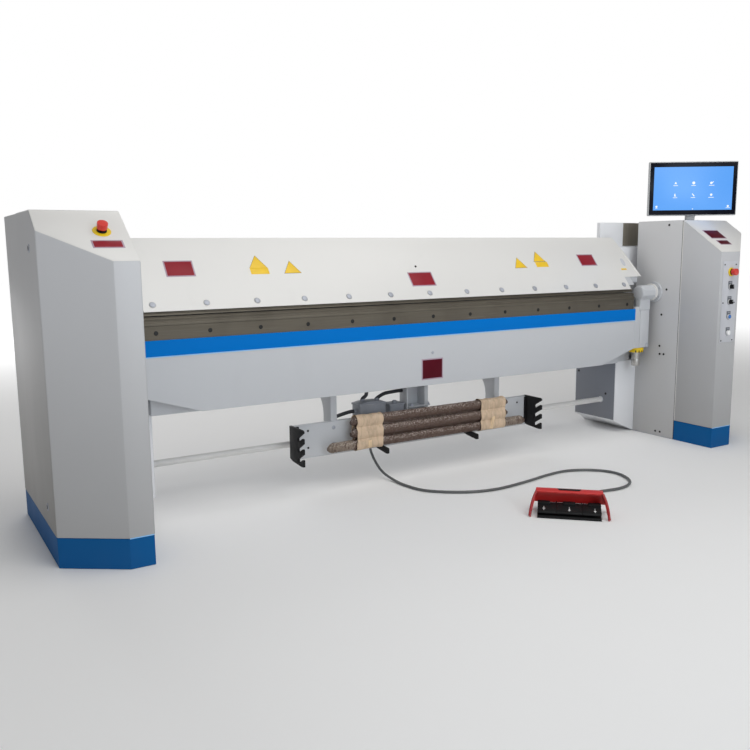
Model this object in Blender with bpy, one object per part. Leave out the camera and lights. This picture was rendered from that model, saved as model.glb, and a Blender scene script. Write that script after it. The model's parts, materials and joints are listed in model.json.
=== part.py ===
"""Sheet metal folding machine: two floor cabinets, a fixed lower beam, a clamping beam and a folding beam.

Frame: metres, +X to the right as seen from the front, +Y to the back, +Z up, floor at z = 0. The pieces are
laid out from the middle of the fold line, and the last step moves them so that the origin lies under the
middle of the machine.
"""

import math

import bmesh
import bpy
from mathutils import Matrix, Vector

# Clearances
FIT_GAP = 0.0003
CABLE_END_GAP = 0.0008
RUN_GAP = 0.006

# Folding rail, which sets the working length
SCREW_PITCH = 0.250
SCREW_COUNT = 13
RAIL_END = 0.060
RAIL_HALF_LENGTH = 0.5 * (SCREW_COUNT - 1) * SCREW_PITCH + RAIL_END
BEAM_OVERHANG = 0.018
BEAM_HALF_LENGTH = RAIL_HALF_LENGTH + BEAM_OVERHANG

# Cabinets
LEFT_END_SPACE = 0.103
RIGHT_END_SPACE = 0.182
LEFT_WALL_X = -BEAM_HALF_LENGTH - LEFT_END_SPACE
RIGHT_WALL_X = BEAM_HALF_LENGTH + RIGHT_END_SPACE
LEFT_CABINET_WIDTH = 0.337
RIGHT_CABINET_WIDTH = 0.413
CABINET_HEIGHT = 1.391
CABINET_SLOPE_DROP = 0.196
CABINET_FRONT_HEIGHT = CABINET_HEIGHT - CABINET_SLOPE_DROP
CABINET_FRONT_Y = -0.470
CABINET_CORNER_Y = -0.306
CABINET_SLOPE_Y = -0.189
CABINET_WALL_END_Y = 0.160
CABINET_REAR_Y = 0.492
CABINET_FACE_LEFT = 0.099
CABINET_FACE_RIGHT = 0.176
CABINET_REAR_INSET = 0.180
PLINTH_HEIGHT = 0.125

# Columns behind the cabinet walls
COLUMN_FRONT_Y = 0.240
COLUMN_DEPTH = 0.350
COLUMN_REACH = 0.075
COLUMN_FOOT_CUT = 0.070
HEAD_FRONT_Y = 0.310
HEAD_REACH = 0.215
HEAD_BOTTOM_Z = 1.000
HEAD_DEPTH = 0.140
GUIDE_WIDTH = 0.150
GUIDE_BOTTOM_Z = 1.230

# Fold line and folding beam
PIVOT_Y = 0.010
PIVOT_Z = 0.941
RAIL_HEIGHT = 0.1007
RAIL_STEP = 0.038
RAIL_DEPTH = 0.034
RAIL_BACK_DROP = 0.018
RAIL_LEDGE = 0.004
RAIL_LEDGE_HEIGHT = 0.014
RAIL_GROOVE = 0.003
RAIL_NOSE_DROP = 0.0058
BAND_HEIGHT = 0.072
BAND_PROUD = 0.0015
BEAM_HEIGHT = 0.341
BEAM_END_RISE = 0.087
BEAM_CHAMFER = 0.276
BEAM_DEPTH = 0.060
RAIL_BOTTOM_Z = PIVOT_Z - RAIL_HEIGHT
BEAM_BOTTOM_Z = RAIL_BOTTOM_Z - BEAM_HEIGHT
BEAM_END_BOTTOM_Z = BEAM_BOTTOM_Z + BEAM_END_RISE

# Hubs, arms and adjusting spindle
HUB_ACROSS = 0.090
HUB_SIDES = 8
HUB_SETBACK = 0.034
ARM_WIDTH = 0.093
ARM_DEPTH = 0.085
ARM_RISE = 0.010
NECK_OVERLAP = 0.020
FLANGE_RADIUS = 0.066
FLANGE_THICKNESS = 0.014
SPINDLE_OFFSET = 0.072
SPINDLE_Y = 0.045
SPINDLE_COLLAR_RADIUS = 0.045
SPINDLE_COLLAR_HEIGHT = 0.032
SPINDLE_RADIUS = 0.026
SPINDLE_LENGTH = 0.088

# Fixed lower beam and table rail
TABLE_STEP = 0.002
TABLE_TOP_Z = PIVOT_Z + TABLE_STEP
TABLE_RAIL_HEIGHT = 0.083
TABLE_FRONT_GAP = 0.007
TABLE_NOSE = 0.013
TABLE_WEB = 0.039
TABLE_SEAT_Y = 0.080
LOWER_FRONT_Y = 0.078
LOWER_REAR_Y = 0.300
LOWER_END_SETBACK = 0.052
LOWER_END_INSET = 0.040
LOWER_HEIGHT = 0.374
LOWER_TOP_Z = TABLE_TOP_Z - TABLE_RAIL_HEIGHT
LOWER_BOTTOM_Z = LOWER_TOP_Z - LOWER_HEIGHT

# Clamping beam
SHEET_GAP = 0.0055
UPPER_TOOL_SETBACK = 0.0075
UPPER_TOOL_SLOPE = 0.550
UPPER_TOOL_FOOT = 0.060
UPPER_TOOL_DEPTH = 0.110
UPPER_TOOL_HEEL = 0.020
UPPER_TOOL_HEIGHT = 0.0415
UPPER_TOOL_BOTTOM_Z = TABLE_TOP_Z + SHEET_GAP
COVER_SLOPE = 0.780
COVER_FOOT_SETBACK = 0.002
COVER_FOOT_RISE = 0.0185
COVER_HEIGHT = 0.326
COVER_NOTCH_RISE = 0.075
COVER_SHOULDER_RISE = 0.240
COVER_NOTCH_INSET = 0.014
COVER_LEFT_REACH = 0.080
COVER_RIGHT_REACH = 0.070
COVER_SHOULDER_REACH = 0.100
COVER_RIGHT_FOOT_REACH = 0.140
COVER_SKIN = 0.003
COVER_FOOT_Y = PIVOT_Y + COVER_FOOT_SETBACK
COVER_FOOT_Z = UPPER_TOOL_BOTTOM_Z + COVER_FOOT_RISE
COVER_TOP_Z = COVER_FOOT_Z + COVER_HEIGHT
CORE_TOP_DROP = 0.013
CORE_OVERHANG = 0.040
CORE_BOTTOM_Z = UPPER_TOOL_BOTTOM_Z + UPPER_TOOL_HEIGHT + FIT_GAP
CORE_REAR_Y = HEAD_FRONT_Y - FIT_GAP

# Hanging rack under the lower beam
BRACKET_DROP = 0.206
BRACKET_LAP = 0.060
BRACKET_X = 0.550
BRACKET_WIDTH = 0.036
BRACKET_DEPTH = 0.085
BRACKET_HEAD = 0.150
BRACKET_HEAD_HEIGHT = 0.030
BRACKET_NECK_HEIGHT = 0.075
CENTRE_BRACKET_X = -0.019
CENTRE_BRACKET_WIDTH = 0.142
CENTRE_BRACKET_DEPTH = 0.075
RACK_FRONT_Y = 0.120
RACK_HALF_LENGTH = 0.780
RACK_HEIGHT = 0.173
RACK_THICKNESS = 0.004
RACK_TOP_Z = LOWER_BOTTOM_Z - BRACKET_DROP + BRACKET_LAP
RACK_BOTTOM_Z = RACK_TOP_Z - RACK_HEIGHT
RACK_BACK_Y = RACK_FRONT_Y + RACK_THICKNESS + FIT_GAP
TUBE_RADIUS = 0.017
TUBE_Y = 0.262
TUBE_Z = 0.215

# Notched supports and wrapped bars
SUPPORT_THICKNESS = 0.006
SUPPORT_INNER_X = 0.300
SUPPORT_REACH = 0.135
SUPPORT_TOOTH = 0.010
SUPPORT_SHOULDER = 0.030
SUPPORT_FOOT_SHARE = 0.9
SUPPORT_FOOT_SETBACK = 0.040
ARC_STEPS = 8
BAR_COUNT = 3
BAR_SIDES = 20
BAR_RADIUS = 0.024
BAR_PITCH = 0.063
BAR_SEAT = 0.065
BAR_CENTRE_X = 0.040
FIRST_BAR_RISE = 0.050
LONG_BAR_HALF = 0.663
SHORT_BAR_HALF = 0.528
BAR_Y = RACK_FRONT_Y - BAR_SEAT
FIRST_BAR_Z = RACK_BOTTOM_Z + FIRST_BAR_RISE
WRAP_GAP = 0.0006
WRAP_THICKNESS = 0.002
WRAP_SPANS = {"left": (-0.465, -0.306), "right": (0.355, 0.535)}

# Boxes behind the rack
BOX_DROP = 0.045
JUNCTION_X = -0.3075
JUNCTION_WIDTH = 0.165
JUNCTION_DEPTH = 0.090
JUNCTION_RISE = 0.070
CONNECTOR_X = -0.1525
CONNECTOR_WIDTH = 0.095
CONNECTOR_DEPTH = 0.080
CONNECTOR_RISE = 0.050
BOX_BOTTOM_Z = RACK_TOP_Z - BOX_DROP
JUNCTION_TOP_Z = RACK_TOP_Z + JUNCTION_RISE

# Cables that stay on the machine
CABLE_RADIUS = 0.009
CABLE_SPACING = 0.020
CABLE_Y = 0.175
CENTRE_BRACKET_LEFT_X = CENTRE_BRACKET_X - 0.5 * CENTRE_BRACKET_WIDTH
MACHINE_CABLES = {
    "beam_cable": (
        (-0.345, CABLE_Y, JUNCTION_TOP_Z + CABLE_END_GAP),
        (-0.345, CABLE_Y, JUNCTION_TOP_Z + 0.020),
        (-0.330, CABLE_Y, LOWER_BOTTOM_Z - 0.020),
        (-0.330, CABLE_Y, LOWER_BOTTOM_Z - CABLE_END_GAP),
    ),
    "arch_cable": (
        (-0.255, CABLE_Y, JUNCTION_TOP_Z + CABLE_END_GAP),
        (-0.255, CABLE_Y, JUNCTION_TOP_Z + 0.020),
        (-0.215, CABLE_Y, JUNCTION_TOP_Z + 0.046),
        (CENTRE_BRACKET_LEFT_X - 0.030, CABLE_Y, JUNCTION_TOP_Z + 0.052),
        (CENTRE_BRACKET_LEFT_X - CABLE_END_GAP, CABLE_Y, JUNCTION_TOP_Z + 0.052),
    ),
}

# Monitor on the right cabinet
MONITOR_OFFSET = 0.270
MONITOR_Y = -0.020
MONITOR_TURN = math.radians(-34.0)
MONITOR_WIDTH = 0.561
MONITOR_HEIGHT = 0.341
MONITOR_DEPTH = 0.030
MONITOR_RISE = 0.0365
GLASS_INSET = 0.006
GLASS_THICKNESS = 0.0025
STAND_RADIUS = 0.065
STAND_PLATE = 0.005
STEM_WIDTH = 0.055
STEM_SETBACK = 0.045
STEM_LAP = 0.012
STEM_DEPTH = 0.025
STEM_RISE = 0.120

# Controls
PLATE_INSET = 0.021
PLATE_WIDTH = 0.137
PLATE_DROP = 0.052
PLATE_HEIGHT = 0.491
PLATE_THICKNESS = 0.002
CONTROL_OFFSET = 0.072
STOP_DROP = 0.066
UPPER_SELECTOR_DROP = 0.154
LOWER_SELECTOR_DROP = 0.245
BLUE_DROP = 0.335
WHITE_DROP = 0.433
LEFT_STOP_OFFSET = 0.098
LEFT_STOP_Y = -0.309
STOP_COLLAR_RADIUS = 0.035
STOP_COLLAR_HEIGHT = 0.004
STOP_BORE_RADIUS = 0.0115
STOP_BOSS_RADIUS = 0.0175
STOP_BOSS_HEIGHT = 0.010
STOP_HEAD_RADIUS = 0.020
STOP_HEAD_HEIGHT = 0.024
STOP_STEM_LAP = 0.002
STOP_TRAVEL = 0.006
KNOB_RADIUS = 0.014
KNOB_BASE = 0.008
KNOB_HEIGHT = 0.026
KNOB_GRIP = 0.004
KNOB_GRIP_INSET = 0.001
BUTTON_RING = 0.005
BUTTON_RADIUS = 0.011
BUTTON_HEIGHT = 0.006
BUTTON_TRAVEL = 0.003
PLATE_LEFT_X = RIGHT_WALL_X + PLATE_INSET
PLATE_TOP_Z = CABINET_FRONT_HEIGHT - PLATE_DROP
CONTROL_X = PLATE_LEFT_X + CONTROL_OFFSET

# Foot pedal unit: a turned base with three pedals, under a bent guard
PEDAL_NODES = ("left_pedal", "middle_pedal", "right_pedal")
PEDAL_X = 0.0775
PEDAL_Y = -0.9640
PEDAL_TURN = math.radians(-43.6)
PEDAL_WIDTH = 0.288
PEDAL_DEPTH = 0.140
PEDAL_BASE_HEIGHT = 0.012
PEDAL_GAP = 0.008
TREAD_FRONT = 0.003
TREAD_HINGE = 0.096
TREAD_REAR = 0.100
TREAD_THICKNESS = 0.008
TREAD_LIFT = 0.014
TREAD_HEEL = 0.012
HINGE_BLOCK_WIDTH = 0.052
HINGE_BLOCK_FRONT = 0.104
HINGE_BLOCK_HEIGHT = 0.032
GUARD_TOP_WIDTH = 0.306
GUARD_FLARE = 0.026
GUARD_SKIN = 0.004
GUARD_TOP_Z = 0.105
GUARD_TOP_DEPTH = 0.056
GUARD_TOP_FALL = 0.006
GUARD_SLOT_Z = 0.036
GUARD_SIDE_Z = 0.044
GUARD_FOOT_FRONT = 0.004
GUARD_FOOT_REAR = 0.018
GUARD_KNEE = (0.040, 0.066)
GUARD_CROTCH = (0.046, GUARD_SIDE_Z)
GUARD_HEEL = 0.014

# Foot pedal cable, with its two glands
GLAND_RADIUS = 0.012
GLAND_LENGTH = 0.018
BOX_GLAND_X = -0.310
BOX_GLAND_Y = 0.170
PEDAL_GLAND_X = 0.100
PEDAL_GLAND_Z = 0.0125
PEDAL_CABLE_RADIUS = 0.007
PEDAL_CABLE_SPACING = 0.036
PEDAL_CABLE_Z = 0.0085
PEDAL_CABLE = (
    (BOX_GLAND_X, BOX_GLAND_Y, BOX_BOTTOM_Z - FIT_GAP - GLAND_LENGTH - CABLE_END_GAP),
    (-0.310, 0.170, 0.225),
    (-0.302, 0.160, 0.130),
    (-0.285, 0.090, 0.045),
    (-0.268, -0.010, 0.012),
    (-0.264, -0.140, PEDAL_CABLE_Z),
    (-0.221, -0.271, PEDAL_CABLE_Z),
    (-0.071, -0.391, PEDAL_CABLE_Z),
    (0.095, -0.435, PEDAL_CABLE_Z),
    (0.297, -0.418, PEDAL_CABLE_Z),
    (0.480, -0.385, PEDAL_CABLE_Z),
    (0.622, -0.378, PEDAL_CABLE_Z),
    (0.735, -0.422, PEDAL_CABLE_Z),
    (0.812, -0.502, PEDAL_CABLE_Z),
    (0.828, -0.590, PEDAL_CABLE_Z),
    (0.785, -0.690, PEDAL_CABLE_Z),
    (0.710, -0.750, PEDAL_CABLE_Z),
    (0.610, -0.768, PEDAL_CABLE_Z),
    (0.500, -0.752, PEDAL_CABLE_Z),
    (0.410, -0.768, PEDAL_CABLE_Z),
    (0.3450, -0.8240, 0.0100),
    (0.2981, -0.8774, 0.0120),
    (0.2567, -0.9209, PEDAL_GLAND_Z),
)
CABLE_NODES = ("pedal_cable", "pedal_gland", "pedal_base", "pedal_guard", *PEDAL_NODES)


def clear_scene():
    """Empty the file before anything is built."""
    for old in list(bpy.data.objects):
        bpy.data.objects.remove(old, do_unlink=True)


def paint(name, color, roughness, metallic=0.0):
    """Return a named material."""
    material = bpy.data.materials.new(name)
    material.use_nodes = True
    shader = material.node_tree.nodes["Principled BSDF"]
    shader.inputs["Base Color"].default_value = (*color, 1.0)
    shader.inputs["Roughness"].default_value = roughness
    shader.inputs["Metallic"].default_value = metallic
    return material


def make_node(name, mesh_data, material, parent=None, smooth=False):
    """Wrap a bmesh as a named object."""
    bmesh.ops.recalc_face_normals(mesh_data, faces=mesh_data.faces)
    mesh = bpy.data.meshes.new(name)
    mesh_data.to_mesh(mesh)
    mesh_data.free()
    if smooth:
        mesh.shade_smooth()
        mesh.set_sharp_from_angle(angle=math.radians(35.0))
    mesh.materials.append(material)
    node = bpy.data.objects.new(name, mesh)
    bpy.context.scene.collection.objects.link(node)
    if parent:
        node.parent = parent
        node.matrix_parent_inverse = parent.matrix_world.inverted()
    return node


def prism(outline, axis, low, high, mesh_data=None):
    """Extrude a closed outline along an axis; outline pairs are the other two axes in X, Y, Z order."""
    mesh_data = mesh_data or bmesh.new()

    def corner(pair, level):
        place = list(pair)
        place.insert(axis, level)
        return mesh_data.verts.new(place)

    near = mesh_data.faces.new([corner(pair, low) for pair in outline])
    grown = bmesh.ops.extrude_face_region(mesh_data, geom=[near])
    moved = [item for item in grown["geom"] if isinstance(item, bmesh.types.BMVert)]
    shift = Vector((0.0, 0.0, 0.0))
    shift[axis] = high - low
    bmesh.ops.translate(mesh_data, vec=shift, verts=moved)
    return mesh_data


def block(low, high, mesh_data=None):
    """Add a box between two corners."""
    outline = [(low[0], low[1]), (high[0], low[1]), (high[0], high[1]), (low[0], high[1])]
    return prism(outline, 2, low[2], high[2], mesh_data)


def drum(center, axis, radius, low, high, sides=32, mesh_data=None, turn=0.0):
    """Add a many-sided drum along an axis; center is its place on the other two axes."""
    angles = [turn + math.tau * step / sides for step in range(sides)]
    outline = [(center[0] + radius * math.cos(a), center[1] + radius * math.sin(a)) for a in angles]
    return prism(outline, axis, low, high, mesh_data)


def empty_at(name, place, turn=0.0):
    """Place an empty that carries a moving piece."""
    holder = bpy.data.objects.new(name, None)
    holder.matrix_world = Matrix.Translation(place) @ Matrix.Rotation(turn, 4, "Z")
    bpy.context.scene.collection.objects.link(holder)
    return holder


def cabinet_plan(wall_x, outer_x, face_width):
    """Return the plan outline of one cabinet."""
    outward = math.copysign(1.0, outer_x - wall_x)
    step_x = wall_x + outward * CABINET_REAR_INSET
    return [
        (wall_x, CABINET_FRONT_Y),
        (wall_x + outward * face_width, CABINET_FRONT_Y),
        (outer_x, CABINET_CORNER_Y),
        (outer_x, CABINET_REAR_Y),
        (step_x, CABINET_REAR_Y),
        (step_x, CABINET_WALL_END_Y),
        (wall_x, CABINET_WALL_END_Y),
    ]


def make_cabinet(side, wall_x, outer_x, face_width, paints):
    """Build one cabinet with its sloped top, and the plinth under it."""
    plan = cabinet_plan(wall_x, outer_x, face_width)
    shell = prism(plan, 2, PLINTH_HEIGHT + FIT_GAP, CABINET_HEIGHT)
    run = CABINET_SLOPE_Y - CABINET_FRONT_Y
    bmesh.ops.recalc_face_normals(shell, faces=shell.faces)
    cut = bmesh.ops.bisect_plane(
        shell,
        geom=[*shell.verts, *shell.edges, *shell.faces],
        plane_co=(0.0, CABINET_SLOPE_Y, CABINET_HEIGHT),
        plane_no=(0.0, -CABINET_SLOPE_DROP, run),
        clear_outer=True,
    )
    rim = [item for item in cut["geom_cut"] if isinstance(item, bmesh.types.BMEdge)]
    bmesh.ops.holes_fill(shell, edges=rim)
    make_node(f"{side}_cabinet", shell, paints["grey"])
    make_node(f"{side}_plinth", prism(plan, 2, 0.0, PLINTH_HEIGHT), paints["blue"])


def make_column(side, wall_x, paints):
    """Build one column behind the cabinet wall, with its guide head."""
    inward = -math.copysign(1.0, wall_x)
    inner_x = wall_x + inward * COLUMN_REACH
    step_x = wall_x - inward * (CABINET_REAR_INSET - FIT_GAP)
    column = prism(
        [
            (inner_x, COLUMN_FOOT_CUT),
            (wall_x, 0.0),
            (step_x, 0.0),
            (step_x, GUIDE_BOTTOM_Z),
            (inner_x, GUIDE_BOTTOM_Z),
        ],
        1,
        COLUMN_FRONT_Y,
        COLUMN_FRONT_Y + COLUMN_DEPTH,
    )
    span = sorted((wall_x + inward * HEAD_REACH, wall_x - inward * GUIDE_WIDTH))
    block(
        (span[0], HEAD_FRONT_Y, HEAD_BOTTOM_Z),
        (span[1], HEAD_FRONT_Y + HEAD_DEPTH, CABINET_HEIGHT),
        column,
    )
    make_node(f"{side}_column", joined(column), paints["grey"])


def make_pivot_flange(side, wall_x, paints):
    """Build the bearing flange on one cabinet wall, on the fold line."""
    inward = -math.copysign(1.0, wall_x)
    face_x = wall_x + inward * FIT_GAP
    span = sorted((face_x, face_x + inward * FLANGE_THICKNESS))
    flange = drum((PIVOT_Y, PIVOT_Z), 0, FLANGE_RADIUS, *span, 32)
    make_node(f"{side}_pivot_flange", flange, paints["grey"], smooth=True)


def make_folding_beam(paints):
    """Build everything that swings about the fold line."""
    holder = empty_at("fold_line", (0.0, PIVOT_Y, PIVOT_Z))
    chamfer_x = BEAM_HALF_LENGTH - BEAM_CHAMFER
    front_plate = prism(
        [
            (-BEAM_HALF_LENGTH, RAIL_BOTTOM_Z),
            (-BEAM_HALF_LENGTH, BEAM_END_BOTTOM_Z),
            (-chamfer_x, BEAM_BOTTOM_Z),
            (chamfer_x, BEAM_BOTTOM_Z),
            (BEAM_HALF_LENGTH, BEAM_END_BOTTOM_Z),
            (BEAM_HALF_LENGTH, RAIL_BOTTOM_Z),
        ],
        1,
        0.0,
        BEAM_DEPTH,
    )
    make_node("folding_beam", front_plate, paints["grey"], holder)
    band = block(
        (-BEAM_HALF_LENGTH, -BAND_PROUD - FIT_GAP, RAIL_BOTTOM_Z - BAND_HEIGHT),
        (BEAM_HALF_LENGTH, -FIT_GAP, RAIL_BOTTOM_Z),
    )
    make_node("folding_beam_band", band, paints["blue"], holder)
    seat = RAIL_BOTTOM_Z + FIT_GAP
    step = PIVOT_Z - RAIL_STEP
    rail = prism(
        [
            (0.0, seat),
            (0.0, step),
            (-RAIL_LEDGE, step + 0.2 * RAIL_LEDGE_HEIGHT),
            (-RAIL_LEDGE, step + RAIL_LEDGE_HEIGHT),
            (RAIL_GROOVE, step + 1.2 * RAIL_LEDGE_HEIGHT),
            (RAIL_GROOVE, step + 1.9 * RAIL_LEDGE_HEIGHT),
            (0.0, PIVOT_Z - RAIL_NOSE_DROP),
            (PIVOT_Y, PIVOT_Z),
            (PIVOT_Y, PIVOT_Z - RAIL_BACK_DROP),
            (RAIL_DEPTH, step - RAIL_BACK_DROP),
            (RAIL_DEPTH, seat),
        ],
        0,
        -RAIL_HALF_LENGTH,
        RAIL_HALF_LENGTH,
    )
    make_node("folding_rail", rail, paints["bronze"], holder)
    for side, wall_x in (("left", LEFT_WALL_X), ("right", RIGHT_WALL_X)):
        make_arm(side, wall_x, paints, holder)
    make_spindle(paints, holder)


def make_arm(side, wall_x, paints, holder):
    """Build one arm beside the beam's end and the many-sided hub on the fold line above it."""
    outward = math.copysign(1.0, wall_x)
    hub_inner = BEAM_HALF_LENGTH + HUB_SETBACK
    hub_outer = abs(wall_x) - FLANGE_THICKNESS - 2.0 * FIT_GAP
    block_outer = min(hub_inner + ARM_WIDTH, hub_outer - RUN_GAP)
    arm_top = RAIL_BOTTOM_Z + ARM_RISE
    flat = 0.5 * HUB_ACROSS * math.tan(math.pi / HUB_SIDES)
    span = sorted((outward * (BEAM_HALF_LENGTH + FIT_GAP), outward * block_outer))
    arm = block((span[0], 0.0, BEAM_END_BOTTOM_Z), (span[1], ARM_DEPTH, arm_top))
    span = sorted((outward * hub_inner, outward * block_outer))
    neck_bottom = arm_top - NECK_OVERLAP
    block((span[0], PIVOT_Y - flat, neck_bottom), (span[1], PIVOT_Y + flat, PIVOT_Z), arm)
    span = sorted((outward * hub_inner, outward * hub_outer))
    radius = 0.5 * HUB_ACROSS / math.cos(math.pi / HUB_SIDES)
    drum((PIVOT_Y, PIVOT_Z), 0, radius, *span, HUB_SIDES, arm, math.pi / HUB_SIDES)
    make_node(f"{side}_arm", joined(arm), paints["grey"], holder)


def make_spindle(paints, holder):
    """Build the adjusting spindle under the right arm: a yellow collar and a bare cylinder."""
    center = (BEAM_HALF_LENGTH + SPINDLE_OFFSET, SPINDLE_Y)
    collar_top = BEAM_END_BOTTOM_Z - FIT_GAP
    collar_bottom = collar_top - SPINDLE_COLLAR_HEIGHT
    collar = drum(center, 2, SPINDLE_COLLAR_RADIUS, collar_bottom, collar_top, 32)
    make_node("spindle_collar", collar, paints["yellow"], holder, smooth=True)
    rod_top = collar_bottom - FIT_GAP
    rod = drum(center, 2, SPINDLE_RADIUS, rod_top - SPINDLE_LENGTH, rod_top, 32)
    make_node("spindle_rod", rod, paints["steel"], holder, smooth=True)


def cover_y(height):
    """Return the Y of the cover's outer face at a height."""
    return COVER_FOOT_Y + COVER_SLOPE * (height - COVER_FOOT_Z)


def make_clamping_beam(paints):
    """Build everything that rises with the clamping beam."""
    holder = empty_at("clamp_lift", (0.0, CORE_REAR_Y, COVER_FOOT_Z))
    notch_x = RAIL_HALF_LENGTH - COVER_NOTCH_INSET
    notch_z = COVER_FOOT_Z + COVER_NOTCH_RISE
    outline = [
        (-RAIL_HALF_LENGTH - COVER_LEFT_REACH, COVER_TOP_Z),
        (-RAIL_HALF_LENGTH - COVER_LEFT_REACH, notch_z),
        (-notch_x, notch_z),
        (-notch_x, COVER_FOOT_Z),
        (notch_x, COVER_FOOT_Z),
        (notch_x, notch_z),
        (RAIL_HALF_LENGTH + COVER_RIGHT_FOOT_REACH, notch_z),
        (RAIL_HALF_LENGTH + COVER_SHOULDER_REACH, COVER_FOOT_Z + COVER_SHOULDER_RISE),
        (RAIL_HALF_LENGTH + COVER_RIGHT_REACH, COVER_TOP_Z),
    ]
    cover = bmesh.new()
    front = [cover.verts.new((x, cover_y(z), z)) for x, z in outline]
    face = cover.faces.new(front)
    grown = bmesh.ops.extrude_face_region(cover, geom=[face])
    moved = [item for item in grown["geom"] if isinstance(item, bmesh.types.BMVert)]
    normal = Vector((0.0, 1.0, -COVER_SLOPE)).normalized()
    bmesh.ops.translate(cover, vec=normal * COVER_SKIN, verts=moved)
    make_node("clamping_cover", cover, paints["white"], holder)
    behind = (COVER_SKIN + FIT_GAP) * math.sqrt(1.0 + COVER_SLOPE**2)
    core_top = COVER_TOP_Z - CORE_TOP_DROP
    core_half = RAIL_HALF_LENGTH + CORE_OVERHANG
    core = prism(
        [
            (cover_y(CORE_BOTTOM_Z) + behind, CORE_BOTTOM_Z),
            (cover_y(core_top) + behind, core_top),
            (CORE_REAR_Y, core_top),
            (CORE_REAR_Y, CORE_BOTTOM_Z),
        ],
        0,
        -core_half,
        core_half,
    )
    make_node("clamping_beam", core, paints["grey"], holder)
    nose_y = PIVOT_Y + UPPER_TOOL_SETBACK
    tool_top = UPPER_TOOL_BOTTOM_Z + UPPER_TOOL_HEIGHT
    tool = prism(
        [
            (nose_y, UPPER_TOOL_BOTTOM_Z),
            (nose_y + UPPER_TOOL_SLOPE * UPPER_TOOL_HEIGHT, tool_top),
            (nose_y + UPPER_TOOL_DEPTH, tool_top),
            (nose_y + UPPER_TOOL_DEPTH, UPPER_TOOL_BOTTOM_Z + UPPER_TOOL_HEEL),
            (nose_y + UPPER_TOOL_FOOT, UPPER_TOOL_BOTTOM_Z),
        ],
        0,
        -RAIL_HALF_LENGTH,
        RAIL_HALF_LENGTH,
    )
    make_node("upper_tool", tool, paints["bronze"], holder)


def make_lower_beam(paints):
    """Build the fixed lower beam between the columns, and the table rail on it."""
    left_x = LEFT_WALL_X + COLUMN_REACH + FIT_GAP
    right_x = RIGHT_WALL_X - COLUMN_REACH - FIT_GAP
    half = RAIL_HALF_LENGTH - LOWER_END_INSET
    end_front_y = LOWER_FRONT_Y + LOWER_END_SETBACK
    plan = [
        (left_x, end_front_y),
        (-half, end_front_y),
        (-half, LOWER_FRONT_Y),
        (half, LOWER_FRONT_Y),
        (half, end_front_y),
        (right_x, end_front_y),
        (right_x, LOWER_REAR_Y),
        (left_x, LOWER_REAR_Y),
    ]
    make_node("lower_beam", prism(plan, 2, LOWER_BOTTOM_Z, LOWER_TOP_Z), paints["grey"])
    nose_y = PIVOT_Y + TABLE_FRONT_GAP
    seat = LOWER_TOP_Z + FIT_GAP
    rail = prism(
        [
            (nose_y, TABLE_TOP_Z),
            (nose_y, TABLE_TOP_Z - TABLE_NOSE),
            (TABLE_SEAT_Y, TABLE_TOP_Z - TABLE_WEB),
            (TABLE_SEAT_Y, seat),
            (LOWER_REAR_Y, seat),
            (LOWER_REAR_Y, TABLE_TOP_Z),
        ],
        0,
        -RAIL_HALF_LENGTH,
        RAIL_HALF_LENGTH,
    )
    make_node("lower_tool_rail", rail, paints["bronze"])


def make_brackets(paints):
    """Build the three brackets that hang the rack from the lower beam."""
    top = LOWER_BOTTOM_Z - FIT_GAP
    bottom = LOWER_BOTTOM_Z - BRACKET_DROP
    for side, x in (("left", -BRACKET_X), ("right", BRACKET_X)):
        bracket = prism(
            [
                (RACK_BACK_Y, bottom),
                (RACK_BACK_Y, top),
                (RACK_BACK_Y + BRACKET_HEAD, top),
                (RACK_BACK_Y + 0.5 * (BRACKET_HEAD + BRACKET_DEPTH), top - BRACKET_HEAD_HEIGHT),
                (RACK_BACK_Y + BRACKET_DEPTH, top - BRACKET_NECK_HEIGHT),
                (RACK_BACK_Y + BRACKET_DEPTH, bottom),
            ],
            0,
            x - 0.5 * BRACKET_WIDTH,
            x + 0.5 * BRACKET_WIDTH,
        )
        make_node(f"{side}_bracket", bracket, paints["grey"])
    post = block(
        (CENTRE_BRACKET_LEFT_X, RACK_BACK_Y, bottom),
        (CENTRE_BRACKET_LEFT_X + CENTRE_BRACKET_WIDTH, RACK_BACK_Y + CENTRE_BRACKET_DEPTH, top),
    )
    make_node("centre_bracket", post, paints["grey"])


def make_tube(paints):
    """Build the cross tube between the two columns."""
    left_x = LEFT_WALL_X + COLUMN_REACH + FIT_GAP
    right_x = RIGHT_WALL_X - COLUMN_REACH - FIT_GAP
    tube = drum((TUBE_Y, TUBE_Z), 0, TUBE_RADIUS, left_x, right_x, 20)
    make_node("cross_tube", tube, paints["grey"], smooth=True)


def make_rack(paints):
    """Build the rack: a panel, four notched supports and three wrapped bars."""
    panel = block(
        (-RACK_HALF_LENGTH, RACK_FRONT_Y, RACK_BOTTOM_Z),
        (RACK_HALF_LENGTH, RACK_FRONT_Y + RACK_THICKNESS, RACK_TOP_Z),
    )
    make_node("rack_panel", panel, paints["grey"])
    for name, x in (
        ("far_left", -RACK_HALF_LENGTH),
        ("left", -SUPPORT_INNER_X),
        ("right", SUPPORT_INNER_X),
        ("far_right", RACK_HALF_LENGTH - SUPPORT_THICKNESS),
    ):
        make_node(f"rack_support_{name}", notched_support(x), paints["black"])
    for index in range(BAR_COUNT):
        center = (BAR_Y, FIRST_BAR_Z + index * BAR_PITCH)
        half = SHORT_BAR_HALF if index else LONG_BAR_HALF
        bar = drum(center, 0, BAR_RADIUS, BAR_CENTRE_X - half, BAR_CENTRE_X + half, BAR_SIDES)
        make_node(f"wrapped_bar_{index + 1}", bar, paints["paper"], smooth=True)


def around(radius):
    """Return the radius of an arc's corners whose flats stay clear of a circle."""
    return radius / math.cos(0.5 * math.pi / ARC_STEPS)


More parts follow.
